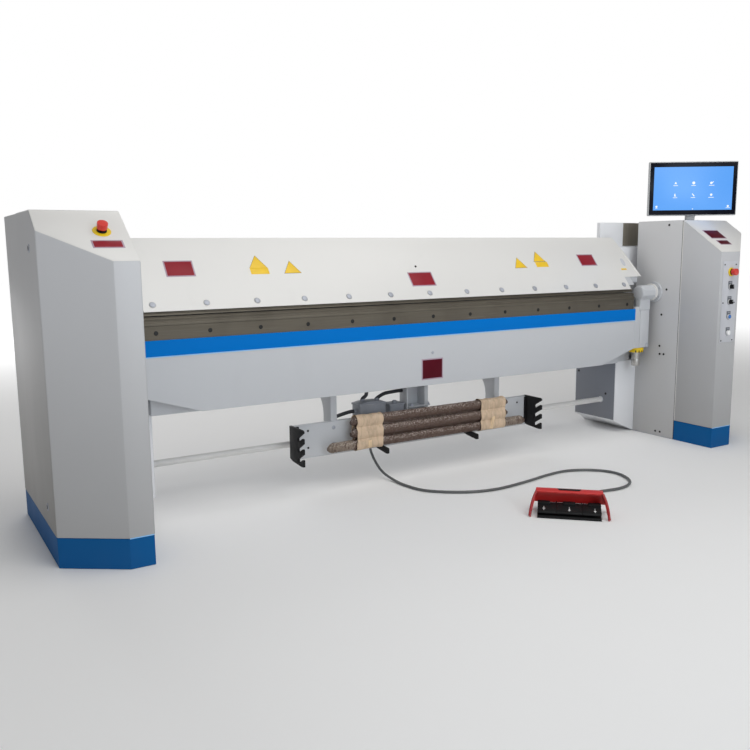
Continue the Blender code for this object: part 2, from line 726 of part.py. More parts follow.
def notched_support(x):
    """Return a plate in the YZ plane with one notch for each bar, open to the front."""
    rear = RACK_FRONT_Y - FIT_GAP
    front = rear - SUPPORT_REACH
    half = around(BAR_RADIUS + FIT_GAP)
    top = FIRST_BAR_Z + (BAR_COUNT - 1) * BAR_PITCH + half + SUPPORT_TOOTH
    outline = [
        (rear, RACK_BOTTOM_Z),
        (rear, RACK_TOP_Z),
        (rear - SUPPORT_SHOULDER, top),
        (front + SUPPORT_TOOTH, top),
        (front, top - SUPPORT_TOOTH),
    ]
    for index in reversed(range(BAR_COUNT)):
        height = FIRST_BAR_Z + index * BAR_PITCH
        for step in range(ARC_STEPS + 1):
            angle = math.pi * (0.5 - step / ARC_STEPS)
            outline.append((BAR_Y + half * math.cos(angle), height + half * math.sin(angle)))
        outline.append((front, height - BAR_RADIUS + 0.5 * SUPPORT_TOOTH))
        if index:
            outline.append((front, height - BAR_RADIUS - 0.5 * SUPPORT_TOOTH))
    foot = FIRST_BAR_Z - SUPPORT_FOOT_SHARE * BAR_PITCH
    outline.append((front, foot))
    outline.append((rear - SUPPORT_FOOT_SETBACK, foot))
    return prism(outline, 0, x, x + SUPPORT_THICKNESS)


def make_wraps(paints):
    """Build the two paper wraps that hold the bars together."""
    inner = around(BAR_RADIUS + WRAP_GAP)
    low = FIRST_BAR_Z
    high = FIRST_BAR_Z + (BAR_COUNT - 1) * BAR_PITCH
    inside = stadium(BAR_Y, low, high, inner)
    outside = stadium(BAR_Y, low, high, inner + WRAP_THICKNESS)
    count = len(inside)
    for side, (near, far) in WRAP_SPANS.items():
        wrap = bmesh.new()
        rings = [
            [wrap.verts.new((x, y, z)) for y, z in outline]
            for x, outline in ((near, outside), (near, inside), (far, outside), (far, inside))
        ]
        for step in range(count):
            after = (step + 1) % count
            for first, second in ((0, 1), (3, 2), (1, 3), (2, 0)):
                wrap.faces.new(
                    (rings[first][step], rings[first][after], rings[second][after], rings[second][step])
                )
        make_node(f"{side}_paper_wrap", wrap, paints["wrap"])


def stadium(y, low, high, radius):
    """Return an upright stadium outline as Y, Z pairs."""
    points = []
    for center, start in ((high, 0.0), (low, math.pi)):
        for step in range(ARC_STEPS + 1):
            angle = start + math.pi * step / ARC_STEPS
            points.append((y + radius * math.cos(angle), center + radius * math.sin(angle)))
    return points


def make_junction_boxes(paints):
    """Build the two boxes on the back of the rack panel and the cables that leave them."""
    for name, x, width, depth, rise in (
        ("junction_box", JUNCTION_X, JUNCTION_WIDTH, JUNCTION_DEPTH, JUNCTION_RISE),
        ("connector_box", CONNECTOR_X, CONNECTOR_WIDTH, CONNECTOR_DEPTH, CONNECTOR_RISE),
    ):
        box = block(
            (x - 0.5 * width, RACK_BACK_Y, BOX_BOTTOM_Z),
            (x + 0.5 * width, RACK_BACK_Y + depth, RACK_TOP_Z + rise),
        )
        make_node(name, box, paints["dark_grey"])
    for name, route in MACHINE_CABLES.items():
        make_cable(name, route, CABLE_RADIUS, paints["black"], CABLE_SPACING)


def smooth_route(route, spacing):
    """Return points at an even spacing along a smooth curve through the route's points."""
    anchors = [Vector(point) for point in route]
    ends = [2.0 * anchors[0] - anchors[1], *anchors, 2.0 * anchors[-1] - anchors[-2]]
    fine = []
    for index in range(1, len(ends) - 2):
        before, start, stop, after = ends[index - 1 : index + 3]
        for step in range(24):
            t = step / 24.0
            fine.append(
                0.5
                * (
                    2.0 * start
                    + (stop - before) * t
                    + (2.0 * before - 5.0 * start + 4.0 * stop - after) * t**2
                    + (3.0 * start - before - 3.0 * stop + after) * t**3
                )
            )
    fine.append(anchors[-1])
    lengths = [0.0]
    for start, stop in zip(fine, fine[1:]):
        lengths.append(lengths[-1] + (stop - start).length)
    count = max(2, round(lengths[-1] / spacing))
    points = []
    piece = 0
    for number in range(count + 1):
        target = lengths[-1] * number / count
        while piece < len(fine) - 2 and lengths[piece + 1] < target:
            piece += 1
        share = (target - lengths[piece]) / (lengths[piece + 1] - lengths[piece])
        points.append(fine[piece].lerp(fine[piece + 1], min(1.0, share)))
    return points


def make_cable(name, route, radius, material, spacing):
    """Lay one round cable along a route."""
    points = smooth_route(route, spacing)
    curve = bpy.data.curves.new(name, "CURVE")
    curve.dimensions = "3D"
    curve.bevel_depth = radius
    curve.bevel_resolution = 2
    curve.use_fill_caps = True
    spline = curve.splines.new("POLY")
    spline.points.add(len(points) - 1)
    for knot, place in zip(spline.points, points):
        knot.co = (*place, 1.0)
    curve.materials.append(material)
    node = bpy.data.objects.new(name, curve)
    bpy.context.scene.collection.objects.link(node)


def make_monitor(paints):
    """Build the screen that turns on its stand on the right cabinet."""
    x = RIGHT_WALL_X + MONITOR_OFFSET
    top = CABINET_HEIGHT + FIT_GAP
    base = drum((x, MONITOR_Y), 2, STAND_RADIUS, top, top + STAND_PLATE, 32)
    make_node("monitor_base", base, paints["dark_grey"], smooth=True)
    holder = empty_at("monitor_swivel", (x, MONITOR_Y, top + STAND_PLATE))
    stem_low = top + STAND_PLATE + FIT_GAP
    bottom = CABINET_HEIGHT + MONITOR_RISE
    half = 0.5 * MONITOR_WIDTH
    front = -STEM_SETBACK
    rear = front + MONITOR_DEPTH
    housing = block((-half, front, bottom), (half, rear, bottom + MONITOR_HEIGHT))
    block(
        (-0.5 * STEM_WIDTH, rear - STEM_LAP, stem_low),
        (0.5 * STEM_WIDTH, rear + STEM_DEPTH, bottom + STEM_RISE),
        housing,
    )
    turn = Matrix.Translation((x, MONITOR_Y, 0.0)) @ Matrix.Rotation(MONITOR_TURN, 4, "Z")
    make_node("monitor", placed(joined(housing), turn), paints["silver"], holder)
    glass = block(
        (-half + GLASS_INSET, front - FIT_GAP - GLASS_THICKNESS, bottom + GLASS_INSET),
        (half - GLASS_INSET, front - FIT_GAP, bottom + MONITOR_HEIGHT - GLASS_INSET),
    )
    make_node("monitor_glass", placed(glass, turn), paints["screen"], holder)


def slope_matrix(x, y):
    """Return the frame of a point on a cabinet's sloped top, with +Z out of it."""
    run = CABINET_SLOPE_Y - CABINET_FRONT_Y
    height = CABINET_HEIGHT - CABINET_SLOPE_DROP * (CABINET_SLOPE_Y - y) / run
    angle = math.atan2(CABINET_SLOPE_DROP, run)
    return Matrix.Translation((x, y, height)) @ Matrix.Rotation(angle, 4, "X")


def front_matrix(x, y, z):
    """Return the frame of a point on a front face, with +Z out of it towards the front."""
    return Matrix.Translation((x, y, z)) @ Matrix.Rotation(0.5 * math.pi, 4, "X")


def placed(mesh_data, frame):
    """Move a mesh into a frame."""
    bmesh.ops.transform(mesh_data, matrix=frame, verts=mesh_data.verts)
    return mesh_data


def turned(profile, segments=32):
    """Spin a closed profile of radius, height pairs about Z."""
    mesh_data = bmesh.new()
    corners = [mesh_data.verts.new((radius, 0.0, height)) for radius, height in profile]
    edges = [mesh_data.edges.new(pair) for pair in zip(corners, corners[1:] + corners[:1])]
    bmesh.ops.spin(
        mesh_data,
        geom=[*corners, *edges],
        axis=(0.0, 0.0, 1.0),
        cent=(0.0, 0.0, 0.0),
        angle=math.tau,
        steps=segments,
        use_merge=True,
    )
    return mesh_data


def make_stop_button(side, frame, paints):
    """Build one stop button: a fixed collar with a boss, and a red head whose stem slides in it."""
    collar = turned(
        [
            (STOP_BORE_RADIUS, FIT_GAP),
            (STOP_COLLAR_RADIUS, FIT_GAP),
            (STOP_COLLAR_RADIUS, STOP_COLLAR_HEIGHT),
            (STOP_BOSS_RADIUS, STOP_COLLAR_HEIGHT),
            (STOP_BOSS_RADIUS, STOP_BOSS_HEIGHT),
            (STOP_BORE_RADIUS, STOP_BOSS_HEIGHT),
        ]
    )
    make_node(f"{side}_stop_collar", placed(collar, frame), paints["yellow"], smooth=True)
    low = FIT_GAP + STOP_TRAVEL + FIT_GAP
    under = STOP_BOSS_HEIGHT + STOP_TRAVEL + FIT_GAP
    head = drum((0.0, 0.0), 2, STOP_BORE_RADIUS - FIT_GAP, low, under + STOP_STEM_LAP, 32)
    drum((0.0, 0.0), 2, STOP_HEAD_RADIUS, under, under + STOP_HEAD_HEIGHT, 32, head)
    make_node(f"{side}_stop_button", placed(joined(head), frame), paints["red"], smooth=True)


def make_controls(paints):
    """Build the control plate with its stop button, two selectors and two push buttons."""
    front = CABINET_FRONT_Y - FIT_GAP
    face = front - PLATE_THICKNESS
    plate = block(
        (PLATE_LEFT_X, face, PLATE_TOP_Z - PLATE_HEIGHT),
        (PLATE_LEFT_X + PLATE_WIDTH, front, PLATE_TOP_Z),
    )
    push_buttons = (
        ("blue_button", PLATE_TOP_Z - BLUE_DROP, "blue"),
        ("white_button", PLATE_TOP_Z - WHITE_DROP, "lamp"),
    )
    for _, height, _ in push_buttons:
        center = (CONTROL_X, height)
        drum(center, 1, KNOB_RADIUS, face - BUTTON_RING, face + 0.5 * PLATE_THICKNESS, 24, plate)
    bores = bmesh.new()
    for _, height, _ in push_buttons:
        drum((CONTROL_X, height), 1, BUTTON_RADIUS + FIT_GAP, face - 2.0 * BUTTON_RING, face, 24, bores)
    make_node("control_plate", without(joined(plate), bores), paints["plate"])
    make_stop_button("right", front_matrix(CONTROL_X, face, PLATE_TOP_Z - STOP_DROP), paints)
    make_stop_button("left", slope_matrix(LEFT_WALL_X - LEFT_STOP_OFFSET, LEFT_STOP_Y), paints)
    for name, drop in (("upper_selector", UPPER_SELECTOR_DROP), ("lower_selector", LOWER_SELECTOR_DROP)):
        frame = front_matrix(CONTROL_X, face, PLATE_TOP_Z - drop)
        knob = drum((0.0, 0.0), 2, KNOB_RADIUS, FIT_GAP, KNOB_BASE, 24)
        grip = KNOB_RADIUS - KNOB_GRIP_INSET
        block((-KNOB_GRIP, -grip, 0.5 * KNOB_BASE), (KNOB_GRIP, grip, KNOB_HEIGHT), knob)
        make_node(name, placed(joined(knob), frame), paints["black"], smooth=True)
    for name, height, color in push_buttons:
        frame = front_matrix(CONTROL_X, face, height)
        low = BUTTON_TRAVEL + FIT_GAP
        cap = drum((0.0, 0.0), 2, BUTTON_RADIUS, low, BUTTON_RING + BUTTON_HEIGHT, 24)
        make_node(name, placed(cap, frame), paints[color], smooth=True)


def evaluated_boolean(mesh_data, operation, other, self_overlap):
    """Return the result of one exact Boolean as a new mesh."""
    helpers = []
    for part in (mesh_data, other):
        bmesh.ops.recalc_face_normals(part, faces=part.faces)
        helper_mesh = bpy.data.meshes.new("boolean_helper")
        part.to_mesh(helper_mesh)
        part.free()
        helper = bpy.data.objects.new("boolean_helper", helper_mesh)
        bpy.context.scene.collection.objects.link(helper)
        helpers.append(helper)
    change = helpers[0].modifiers.new("change", "BOOLEAN")
    change.operation = operation
    change.use_self = self_overlap
    change.object = helpers[1]
    bpy.context.view_layer.update()
    graph = bpy.context.evaluated_depsgraph_get()
    result = bmesh.new()
    result.from_mesh(helpers[0].evaluated_get(graph).to_mesh())
    for helper in helpers:
        bpy.data.objects.remove(helper, do_unlink=True)
    return result


def without(mesh_data, cutter):
    """Return a mesh with another cut from it."""
    return evaluated_boolean(mesh_data, "DIFFERENCE", cutter, False)


def joined(mesh_data):
    """Return the union of the overlapping solids in a mesh."""
    return evaluated_boolean(mesh_data, "UNION", bmesh.new(), True)


def pedal_frame():
    """Return the frame of the pedal unit: +X along its front edge, +Y to its back."""
    return Matrix.Translation((PEDAL_X, PEDAL_Y, 0.0)) @ Matrix.Rotation(PEDAL_TURN, 4, "Z")


def make_pedal(paints):
    """Build the foot pedal unit: base, guard and three pedals."""
    frame = pedal_frame()
    half = 0.5 * PEDAL_WIDTH
    rear = PEDAL_DEPTH - GUARD_SKIN - FIT_GAP
    base = block((-half, 0.0, 0.0), (half, rear, PEDAL_BASE_HEIGHT))
    pitch = (PEDAL_WIDTH - HINGE_BLOCK_WIDTH) / (len(PEDAL_NODES) - 1)
    for index in range(len(PEDAL_NODES)):
        left = -half + index * pitch
        block(
            (left, HINGE_BLOCK_FRONT, 0.5 * PEDAL_BASE_HEIGHT),
            (left + HINGE_BLOCK_WIDTH, rear, PEDAL_BASE_HEIGHT + HINGE_BLOCK_HEIGHT),
            base,
        )
    make_node("pedal_base", placed(joined(base), frame), paints["black"])
    make_node("pedal_guard", placed(guard_shell(), frame), paints["red"])
    pitch = PEDAL_WIDTH / len(PEDAL_NODES)
    low = PEDAL_BASE_HEIGHT + FIT_GAP
    lifted = low + TREAD_LIFT
    for index, name in enumerate(PEDAL_NODES):
        tread = prism(
            [
                (TREAD_FRONT, lifted),
                (TREAD_FRONT, lifted + TREAD_THICKNESS),
                (TREAD_REAR, low + TREAD_HEEL),
                (TREAD_REAR, low),
                (TREAD_HINGE, low),
            ],
            0,
            index * pitch - half + 0.5 * PEDAL_GAP,
            (index + 1) * pitch - half - 0.5 * PEDAL_GAP,
        )
        holder = empty_at(f"{name}_hinge", frame @ Vector((0.0, TREAD_HINGE, low)), PEDAL_TURN)
        make_node(name, placed(tread, frame), paints["pedal"], holder)
    low_y = rear + FIT_GAP
    gland = drum((PEDAL_GLAND_X, PEDAL_GLAND_Z), 1, GLAND_RADIUS, low_y, low_y + GLAND_LENGTH, 16)
    make_node("pedal_gland", placed(gland, frame), paints["black"], smooth=True)


def guard_shell():
    """Return the bent guard: a rear wall, a short roof and two sides that flare down to the floor."""
    skin = GUARD_SKIN
    front = PEDAL_DEPTH - GUARD_TOP_DEPTH
    low_front = GUARD_TOP_Z - GUARD_TOP_FALL
    roof = [
        (front, low_front - skin),
        (front, low_front),
        (PEDAL_DEPTH, GUARD_TOP_Z),
        (PEDAL_DEPTH, GUARD_SLOT_Z),
        (PEDAL_DEPTH - skin, GUARD_SLOT_Z),
        (PEDAL_DEPTH - skin, GUARD_TOP_Z - skin),
    ]
    side = [
        (GUARD_FOOT_FRONT, 0.0),
        GUARD_KNEE,
        (front, low_front),
        (PEDAL_DEPTH, GUARD_TOP_Z),
        (PEDAL_DEPTH, 0.0),
        (PEDAL_DEPTH - GUARD_HEEL, 0.0),
        (PEDAL_DEPTH - GUARD_HEEL, GUARD_SIDE_Z),
        GUARD_CROTCH,
        (GUARD_FOOT_REAR, 0.0),
    ]
    half = 0.5 * GUARD_TOP_WIDTH
    guard = prism(roof, 0, -half + 0.5 * skin, half - 0.5 * skin)
    prism(side, 0, -half, -half + skin, guard)
    prism(side, 0, half - skin, half, guard)
    for vertex in guard.verts:
        flare = GUARD_FLARE * (1.0 - vertex.co.z / GUARD_TOP_Z)
        vertex.co.x += math.copysign(flare, vertex.co.x)
    return joined(guard)


def make_box_gland(paints):
    """Build the gland under the junction box, where the pedal cable comes out."""
    top = BOX_BOTTOM_Z - FIT_GAP
    gland = drum((BOX_GLAND_X, BOX_GLAND_Y), 2, GLAND_RADIUS, top - GLAND_LENGTH, top, 16)
    make_node("box_gland", gland, paints["black"], smooth=True)


def centre_on_origin():
    """Move everything so that the origin lies on the floor under the middle of the machine."""
    bpy.context.view_layer.update()
    corners = [
        node.matrix_world @ Vector(corner)
        for node in bpy.context.scene.collection.objects
        if node.type != "EMPTY" and node.name not in CABLE_NODES
        for corner in node.bound_box
    ]
    middle = [0.5 * (min(c[axis] for c in corners) + max(c[axis] for c in corners)) for axis in (0, 1)]
    for node in bpy.context.scene.collection.objects:
        if not node.parent:
            node.location -= Vector((*middle, 0.0))


def main():
    """Build the whole machine."""
    clear_scene()
    paints = {
        "grey": paint("light_grey_paint", (0.62, 0.63, 0.66), 0.45),
        "white": paint("warm_white_paint", (0.78, 0.77, 0.75), 0.42),
        "blue": paint("blue_paint", (0.0, 0.16, 0.55), 0.45),
        "bronze": paint("tool_steel", (0.17, 0.14, 0.11), 0.45, 0.6),
        "steel": paint("bare_steel", (0.55, 0.54, 0.52), 0.35, 1.0),
        "black": paint("black_plastic", (0.012, 0.012, 0.013), 0.5),
        "dark_grey": paint("dark_grey_plastic", (0.10, 0.11, 0.12), 0.5),
        "paper": paint("wrapped_bar", (0.13, 0.075, 0.05), 0.7),
        "wrap": paint("brown_paper", (0.45, 0.33, 0.20), 0.8),
        "yellow": paint("yellow_plastic", (0.75, 0.52, 0.03), 0.45),
        "red": paint("red_plastic", (0.62, 0.03, 0.025), 0.4),
        "plate": paint("control_plate_paint", (0.60, 0.61, 0.64), 0.42),
        "silver": paint("silver_plastic", (0.50, 0.51, 0.52), 0.35, 0.6),
        "screen": paint("screen_glass", (0.005, 0.005, 0.007), 0.08),
        "lamp": paint("white_plastic", (0.85, 0.85, 0.85), 0.35),
        "pedal": paint("pedal_rubber", (0.02, 0.02, 0.022), 0.6),
        "cable": paint("cable_rubber", (0.05, 0.055, 0.06), 0.55),
    }
    sides = (
        ("left", LEFT_WALL_X, LEFT_WALL_X - LEFT_CABINET_WIDTH, CABINET_FACE_LEFT),
        ("right", RIGHT_WALL_X, RIGHT_WALL_X + RIGHT_CABINET_WIDTH, CABINET_FACE_RIGHT),
    )
    for side, wall_x, outer_x, face_width in sides:
        make_cabinet(side, wall_x, outer_x, face_width, paints)
        make_column(side, wall_x, paints)
        make_pivot_flange(side, wall_x, paints)
    make_lower_beam(paints)
    make_brackets(paints)
    make_tube(paints)
    make_rack(paints)
    make_wraps(paints)
    make_junction_boxes(paints)
    make_folding_beam(paints)
    make_clamping_beam(paints)
    make_monitor(paints)
    make_controls(paints)
    make_box_gland(paints)
    make_pedal(paints)
    make_cable("pedal_cable", PEDAL_CABLE, PEDAL_CABLE_RADIUS, paints["cable"], PEDAL_CABLE_SPACING)
    centre_on_origin()


main()
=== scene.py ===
"""Looks of the sheet metal folding machine, built on the frame packed from its CAD parts.

Details are laid out as the part is: x from the middle of the folding rail, y from the folding beam's front
face towards the back, z from the floor, all in metres. Shop.origin carries them into the row frame.
"""

import logging
import math
from collections.abc import Iterable, Sequence
from dataclasses import dataclass
from enum import Enum

import bmesh
import bpy
from mathutils import Matrix, Vector, noise
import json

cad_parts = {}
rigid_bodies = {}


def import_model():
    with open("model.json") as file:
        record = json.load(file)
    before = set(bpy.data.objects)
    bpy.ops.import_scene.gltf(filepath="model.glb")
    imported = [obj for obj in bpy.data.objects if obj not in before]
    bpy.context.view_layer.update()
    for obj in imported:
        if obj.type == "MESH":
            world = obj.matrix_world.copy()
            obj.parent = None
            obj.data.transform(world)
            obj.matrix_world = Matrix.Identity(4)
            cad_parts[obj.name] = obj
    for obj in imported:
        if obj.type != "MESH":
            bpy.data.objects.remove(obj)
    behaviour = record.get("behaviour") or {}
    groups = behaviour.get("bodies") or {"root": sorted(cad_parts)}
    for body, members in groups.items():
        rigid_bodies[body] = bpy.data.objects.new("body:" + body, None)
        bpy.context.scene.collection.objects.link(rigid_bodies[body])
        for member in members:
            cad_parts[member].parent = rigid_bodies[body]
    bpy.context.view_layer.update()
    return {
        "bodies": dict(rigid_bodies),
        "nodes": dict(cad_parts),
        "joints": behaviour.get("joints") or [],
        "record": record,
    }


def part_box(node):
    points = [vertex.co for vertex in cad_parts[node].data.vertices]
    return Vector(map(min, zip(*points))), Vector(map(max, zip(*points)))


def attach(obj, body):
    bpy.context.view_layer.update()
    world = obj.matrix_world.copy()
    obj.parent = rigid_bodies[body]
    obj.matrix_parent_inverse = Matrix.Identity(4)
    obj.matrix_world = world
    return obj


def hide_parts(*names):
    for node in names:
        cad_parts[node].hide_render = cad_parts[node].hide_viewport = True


LOG = logging.getLogger("folding_machine")
SHARP_ANGLE = math.radians(32.0)
FORWARD = (0.0, -1.0, 0.0)
BACKWARD = (0.0, 1.0, 0.0)
UPWARD = (0.0, 0.0, 1.0)

Colour = tuple[float, float, float]
Point = Sequence[float]


class Axis(Enum):
    """Directions of the row frame."""

    X = 0
    Y = 1
    Z = 2


class Side(Enum):
    """An end of the machine: its name, the way out along X, and its cabinet's inner wall."""

    LEFT = ("left", -1.0, -1.681)
    RIGHT = ("right", 1.0, 1.760)

    def __init__(self, label: str, outward: float, wall: float) -> None:
        """Keep the end's name, its way out and its wall.

        Args:
            label: Name of the end.
            outward: Sign of the way out along X.
            wall: Place of the cabinet's inner wall along X.
        """
        self.label = label
        self.outward = outward
        self.wall = wall


class Body(Enum):
    """Bodies of the frame that pieces ride on."""

    FRAME = "frame"
    FOLDING = "folding_unit"
    CLAMPING = "clamping_unit"
    SCREEN = "screen_unit"
    LEFT_STOP = "left_stop_button_unit"
    RIGHT_STOP = "right_stop_button_unit"
    UPPER_SELECTOR = "upper_selector_unit"
    LOWER_SELECTOR = "lower_selector_unit"
    BLUE_BUTTON = "blue_button_unit"
    WHITE_BUTTON = "white_button_unit"
    LEFT_PEDAL = "left_pedal_unit"
    MIDDLE_PEDAL = "middle_pedal_unit"
    RIGHT_PEDAL = "right_pedal_unit"


class Slot(Enum):
    """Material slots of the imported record."""

    GREY = "light_grey_paint"
    WHITE = "warm_white_paint"
    BLUE = "blue_paint"
    TOOL_STEEL = "tool_steel"
    BARE_STEEL = "bare_steel"
    BLACK_PLASTIC = "black_plastic"
    DARK_PLASTIC = "dark_grey_plastic"
    BLACK_PAINT = "black_paint"
    WRAPPED_BAR = "wrapped_bar"
    PAPER = "brown_paper"
    YELLOW = "yellow_plastic"
    RED_PLASTIC = "red_plastic"
    RED_PAINT = "red_paint"
    CONTROL_PLATE = "control_plate_paint"
    SILVER = "silver_plastic"
    GLASS = "screen_glass"
    WHITE_PLASTIC = "white_plastic"
    BLUE_PLASTIC = "blue_plastic"
    PEDAL = "pedal_rubber"
    CABLE = "cable_rubber"


class Value:
    """A number in a shader, on which sums are written as they are elsewhere."""

    def __init__(self, graph: "Graph", socket: bpy.types.NodeSocket) -> None:
        """Wrap one output socket of a graph."""
        self.graph = graph
        self.socket = socket

    def _sum(self, operation: str, first: object, second: object) -> "Value":
        """Add one Math node to the graph."""
        made = self.graph.node("ShaderNodeMath", {"operation": operation}, {0: first, 1: second})
        return Value(self.graph, made.outputs[0])

    def __add__(self, other: object) -> "Value":
        """Return the sum."""
        return self._sum("ADD", self, other)

    def __radd__(self, other: object) -> "Value":
        """Return the sum with a plain number first."""
        return self._sum("ADD", other, self)

    def __sub__(self, other: object) -> "Value":
        """Return the difference."""
        return self._sum("SUBTRACT", self, other)

    def __rsub__(self, other: object) -> "Value":
        """Return a plain number less this value."""
        return self._sum("SUBTRACT", other, self)

    def __mul__(self, other: object) -> "Value":
        """Return the product."""
        return self._sum("MULTIPLY", self, other)

    def __rmul__(self, other: object) -> "Value":
        """Return the product with a plain number first."""
        return self._sum("MULTIPLY", other, self)

    def __pow__(self, other: object) -> "Value":
        """Return the power."""
        return self._sum("POWER", self, other)

    def rising(self, low: float, high: float) -> "Value":
        """Return 0 below low, 1 above high and a smooth step between them.

        Args:
            low: Where the step starts.
            high: Where the step ends, which may be the lower number.

        Returns:
            The stepped value.
        """
        settings = {"interpolation_type": "SMOOTHSTEP"}
        inputs = {"Value": self, "From Min": low, "From Max": high}
        made = self.graph.node("ShaderNodeMapRange", settings, inputs)
        return Value(self.graph, made.outputs[0])


class Graph:
    """The shader nodes of one material."""

    def __init__(self, name: str) -> None:
        """Start a material with its Principled shader.

        Args:
            name: The material's name.
        """
        self.material = bpy.data.materials.new(name)
        self.material.use_nodes = True
        self.tree = self.material.node_tree
        self.shader = self.tree.nodes["Principled BSDF"]
        where = self.node("ShaderNodeTexCoord", {}, {})
        self.place = where.outputs["Object"]
        self.normal = where.outputs["Normal"]

    def feed(self, socket: bpy.types.NodeSocket, value: object) -> None:
        """Link a value to a socket, or set a plain number or colour on it.

        Args:
            socket: The socket to feed.
            value: A value, a socket, a number or a colour.
        """
        value = value.socket if isinstance(value, Value) else value
        if isinstance(value, bpy.types.NodeSocket):
            self.tree.links.new(value, socket)
        elif isinstance(value, tuple) and len(socket.default_value) == 4:
            socket.default_value = (*value, 1.0)
        else:
            socket.default_value = value

    def node(self, kind: str, settings: dict[str, object], inputs: dict[object, object]) -> bpy.types.Node:
        """Add one node.

        Args:
            kind: The node's type.
            settings: The node's own settings, which are set first.
            inputs: What goes to its sockets, by name or number.

        Returns:
            The new node.
        """
        made = self.tree.nodes.new(kind)
        for key, value in settings.items():
            setattr(made, key, value)
        for key, value in inputs.items():
            self.feed(made.inputs[key], value)
        return made

    def set(self, **values: object) -> None:
        """Feed the shader's sockets, named with _ for a space."""
        for key, value in values.items():
            self.feed(self.shader.inputs[key.replace("_", " ")], value)

    def noise(self, scale: float, detail: float = 2.0, stretch: Colour = (1.0, 1.0, 1.0)) -> Value:
        """Return soft noise from 0 to 1 over the object's own coordinates.

        Args:
            scale: Patches to the metre.
            detail: Octaves of finer noise.
            stretch: How densely the noise is packed along X, Y and Z.

        Returns:
            The noise.
        """
        where = self.place
        if stretch != (1.0, 1.0, 1.0):
            where = self.node("ShaderNodeMapping", {}, {"Vector": where, "Scale": stretch}).outputs[0]
        made = self.node("ShaderNodeTexNoise", {}, {"Vector": where, "Scale": scale, "Detail": detail})
        return Value(self, made.outputs[0])

    def along(self, axis: Axis) -> Value:
        """Return one of the object's own coordinates."""
        return Value(self, self.node("ShaderNodeSeparateXYZ", {}, {0: self.place}).outputs[axis.value])

    def mix(self, factor: object, first: object, second: object) -> bpy.types.NodeSocket:
        """Return a colour between two."""
        made = self.node("ShaderNodeMix", {"data_type": "RGBA"}, {0: factor, 6: first, 7: second})
        return made.outputs[2]

    def bump(self, height: Value, strength: float, distance: float) -> None:
        """Raise the surface's normal by a height."""
        inputs = {"Height": height, "Strength": strength, "Distance": distance}
        self.set(Normal=self.node("ShaderNodeBump", {}, inputs).outputs[0])


@dataclass(frozen=True)
class Finish:
    """A surface finish: its name, the record's slot, its colour and how rough it is."""

    name: str
    slot: Slot
    colour: Colour
    roughness: float = 0.45

    def tone(self, factor: float) -> Colour:
        """Return the colour, darker or lighter."""
        return tuple(min(1.0, part * factor) for part in self.colour)

    def material(self) -> bpy.types.Material:
        """Draw the finish's material the first time it is asked for.

        Returns:
            The material.
        """
        found = bpy.data.materials.get(self.name)
        if found is None:
            graph = Graph(self.name)
            self.draw(graph)
            found = graph.material
        return found

    def draw(self, graph: Graph) -> None:
        """Draw the finish's shader nodes.

        Args:
            graph: The nodes of the finish\'s material.
        """
        raise NotImplementedError


@dataclass(frozen=True)
class PowderCoat(Finish):
    """Baked powder paint: a fine peel, soft drifts of tone, handling marks, and floor dust low down."""

    drift: float = 0.05
    peel: float = 0.10
    dust: float = 0.25
    dust_height: float = 0.35
    coat: float = 0.12
    shine: float = 0.5
    bottom_darkening: float = 0.0

    def draw(self, graph: Graph) -> None:
        """Draw the paint.

        Args:
            graph: The nodes of the finish\'s material.
        """
        cloud = graph.noise(1.4, 3.0)
        grain = graph.noise(380.0, 2.0)
        smear = graph.noise(6.0, 5.0, (1.0, 1.0, 0.3))
        low = graph.along(Axis.Z).rising(self.dust_height, 0.0) * smear * self.dust
        mark = smear.rising(0.62, 0.75) * 0.5
        tone = cloud * 0.7 + grain * 0.3
        body = graph.mix(tone, self.tone(1.0 - self.drift), self.tone(1.0 + self.drift))
        # The paint is mixed darker and browner from 1.35 m down to the floor, by a share set per finish.
        bottom_darkening_mask = graph.along(Axis.Z).rising(1.35, 0.05) * self.bottom_darkening
        body = graph.mix(bottom_darkening_mask, body, (0.12, 0.105, 0.080)) if self.bottom_darkening else body
        used = graph.mix(mark * self.dust, body, self.tone(0.86))
        graph.set(
            Base_Color=graph.mix(low, used, (0.33, 0.30, 0.26)),
            Roughness=self.roughness + (smear - 0.5) * 0.16 + low * 0.3,
            Coat_Weight=self.coat,
            Coat_Roughness=0.25,
            Specular_IOR_Level=self.shine,
        )
        graph.bump(grain + graph.noise(7.0, 1.0) * 3.0, self.peel, 0.0012)


@dataclass(frozen=True)
class GroundSteel(Finish):
    """Ground or turned steel: fine lines along one way, oil stains and small bright scratches."""

    metallic: float = 0.85
    stretch: Colour = (0.012, 1.0, 1.0)
    density: float = 420.0
    stain: float = 0.35

    def draw(self, graph: Graph) -> None:
        """Draw the steel.

        Args:
            graph: The nodes of the finish\'s material.
        """
        lines = graph.noise(self.density, 3.0, self.stretch)
        broad = graph.noise(self.density * 0.12, 3.0, self.stretch)
        patch = graph.noise(4.0, 5.0)
        scratch = graph.noise(self.density * 0.5, 1.0, self.stretch).rising(0.70, 0.78)
        body = graph.mix(lines * 0.6 + broad * 0.4, self.tone(0.62), self.tone(1.4))
        stained = graph.mix(patch.rising(0.45, 0.75) * self.stain, body, self.tone(0.45))
        graph.set(
            Base_Color=graph.mix(scratch * 0.5, stained, self.tone(2.2)),
            Metallic=self.metallic,
            Roughness=self.roughness + (broad - 0.5) * 0.3 + patch * 0.1,
        )
        graph.bump(lines + broad, 0.22, 0.0006)


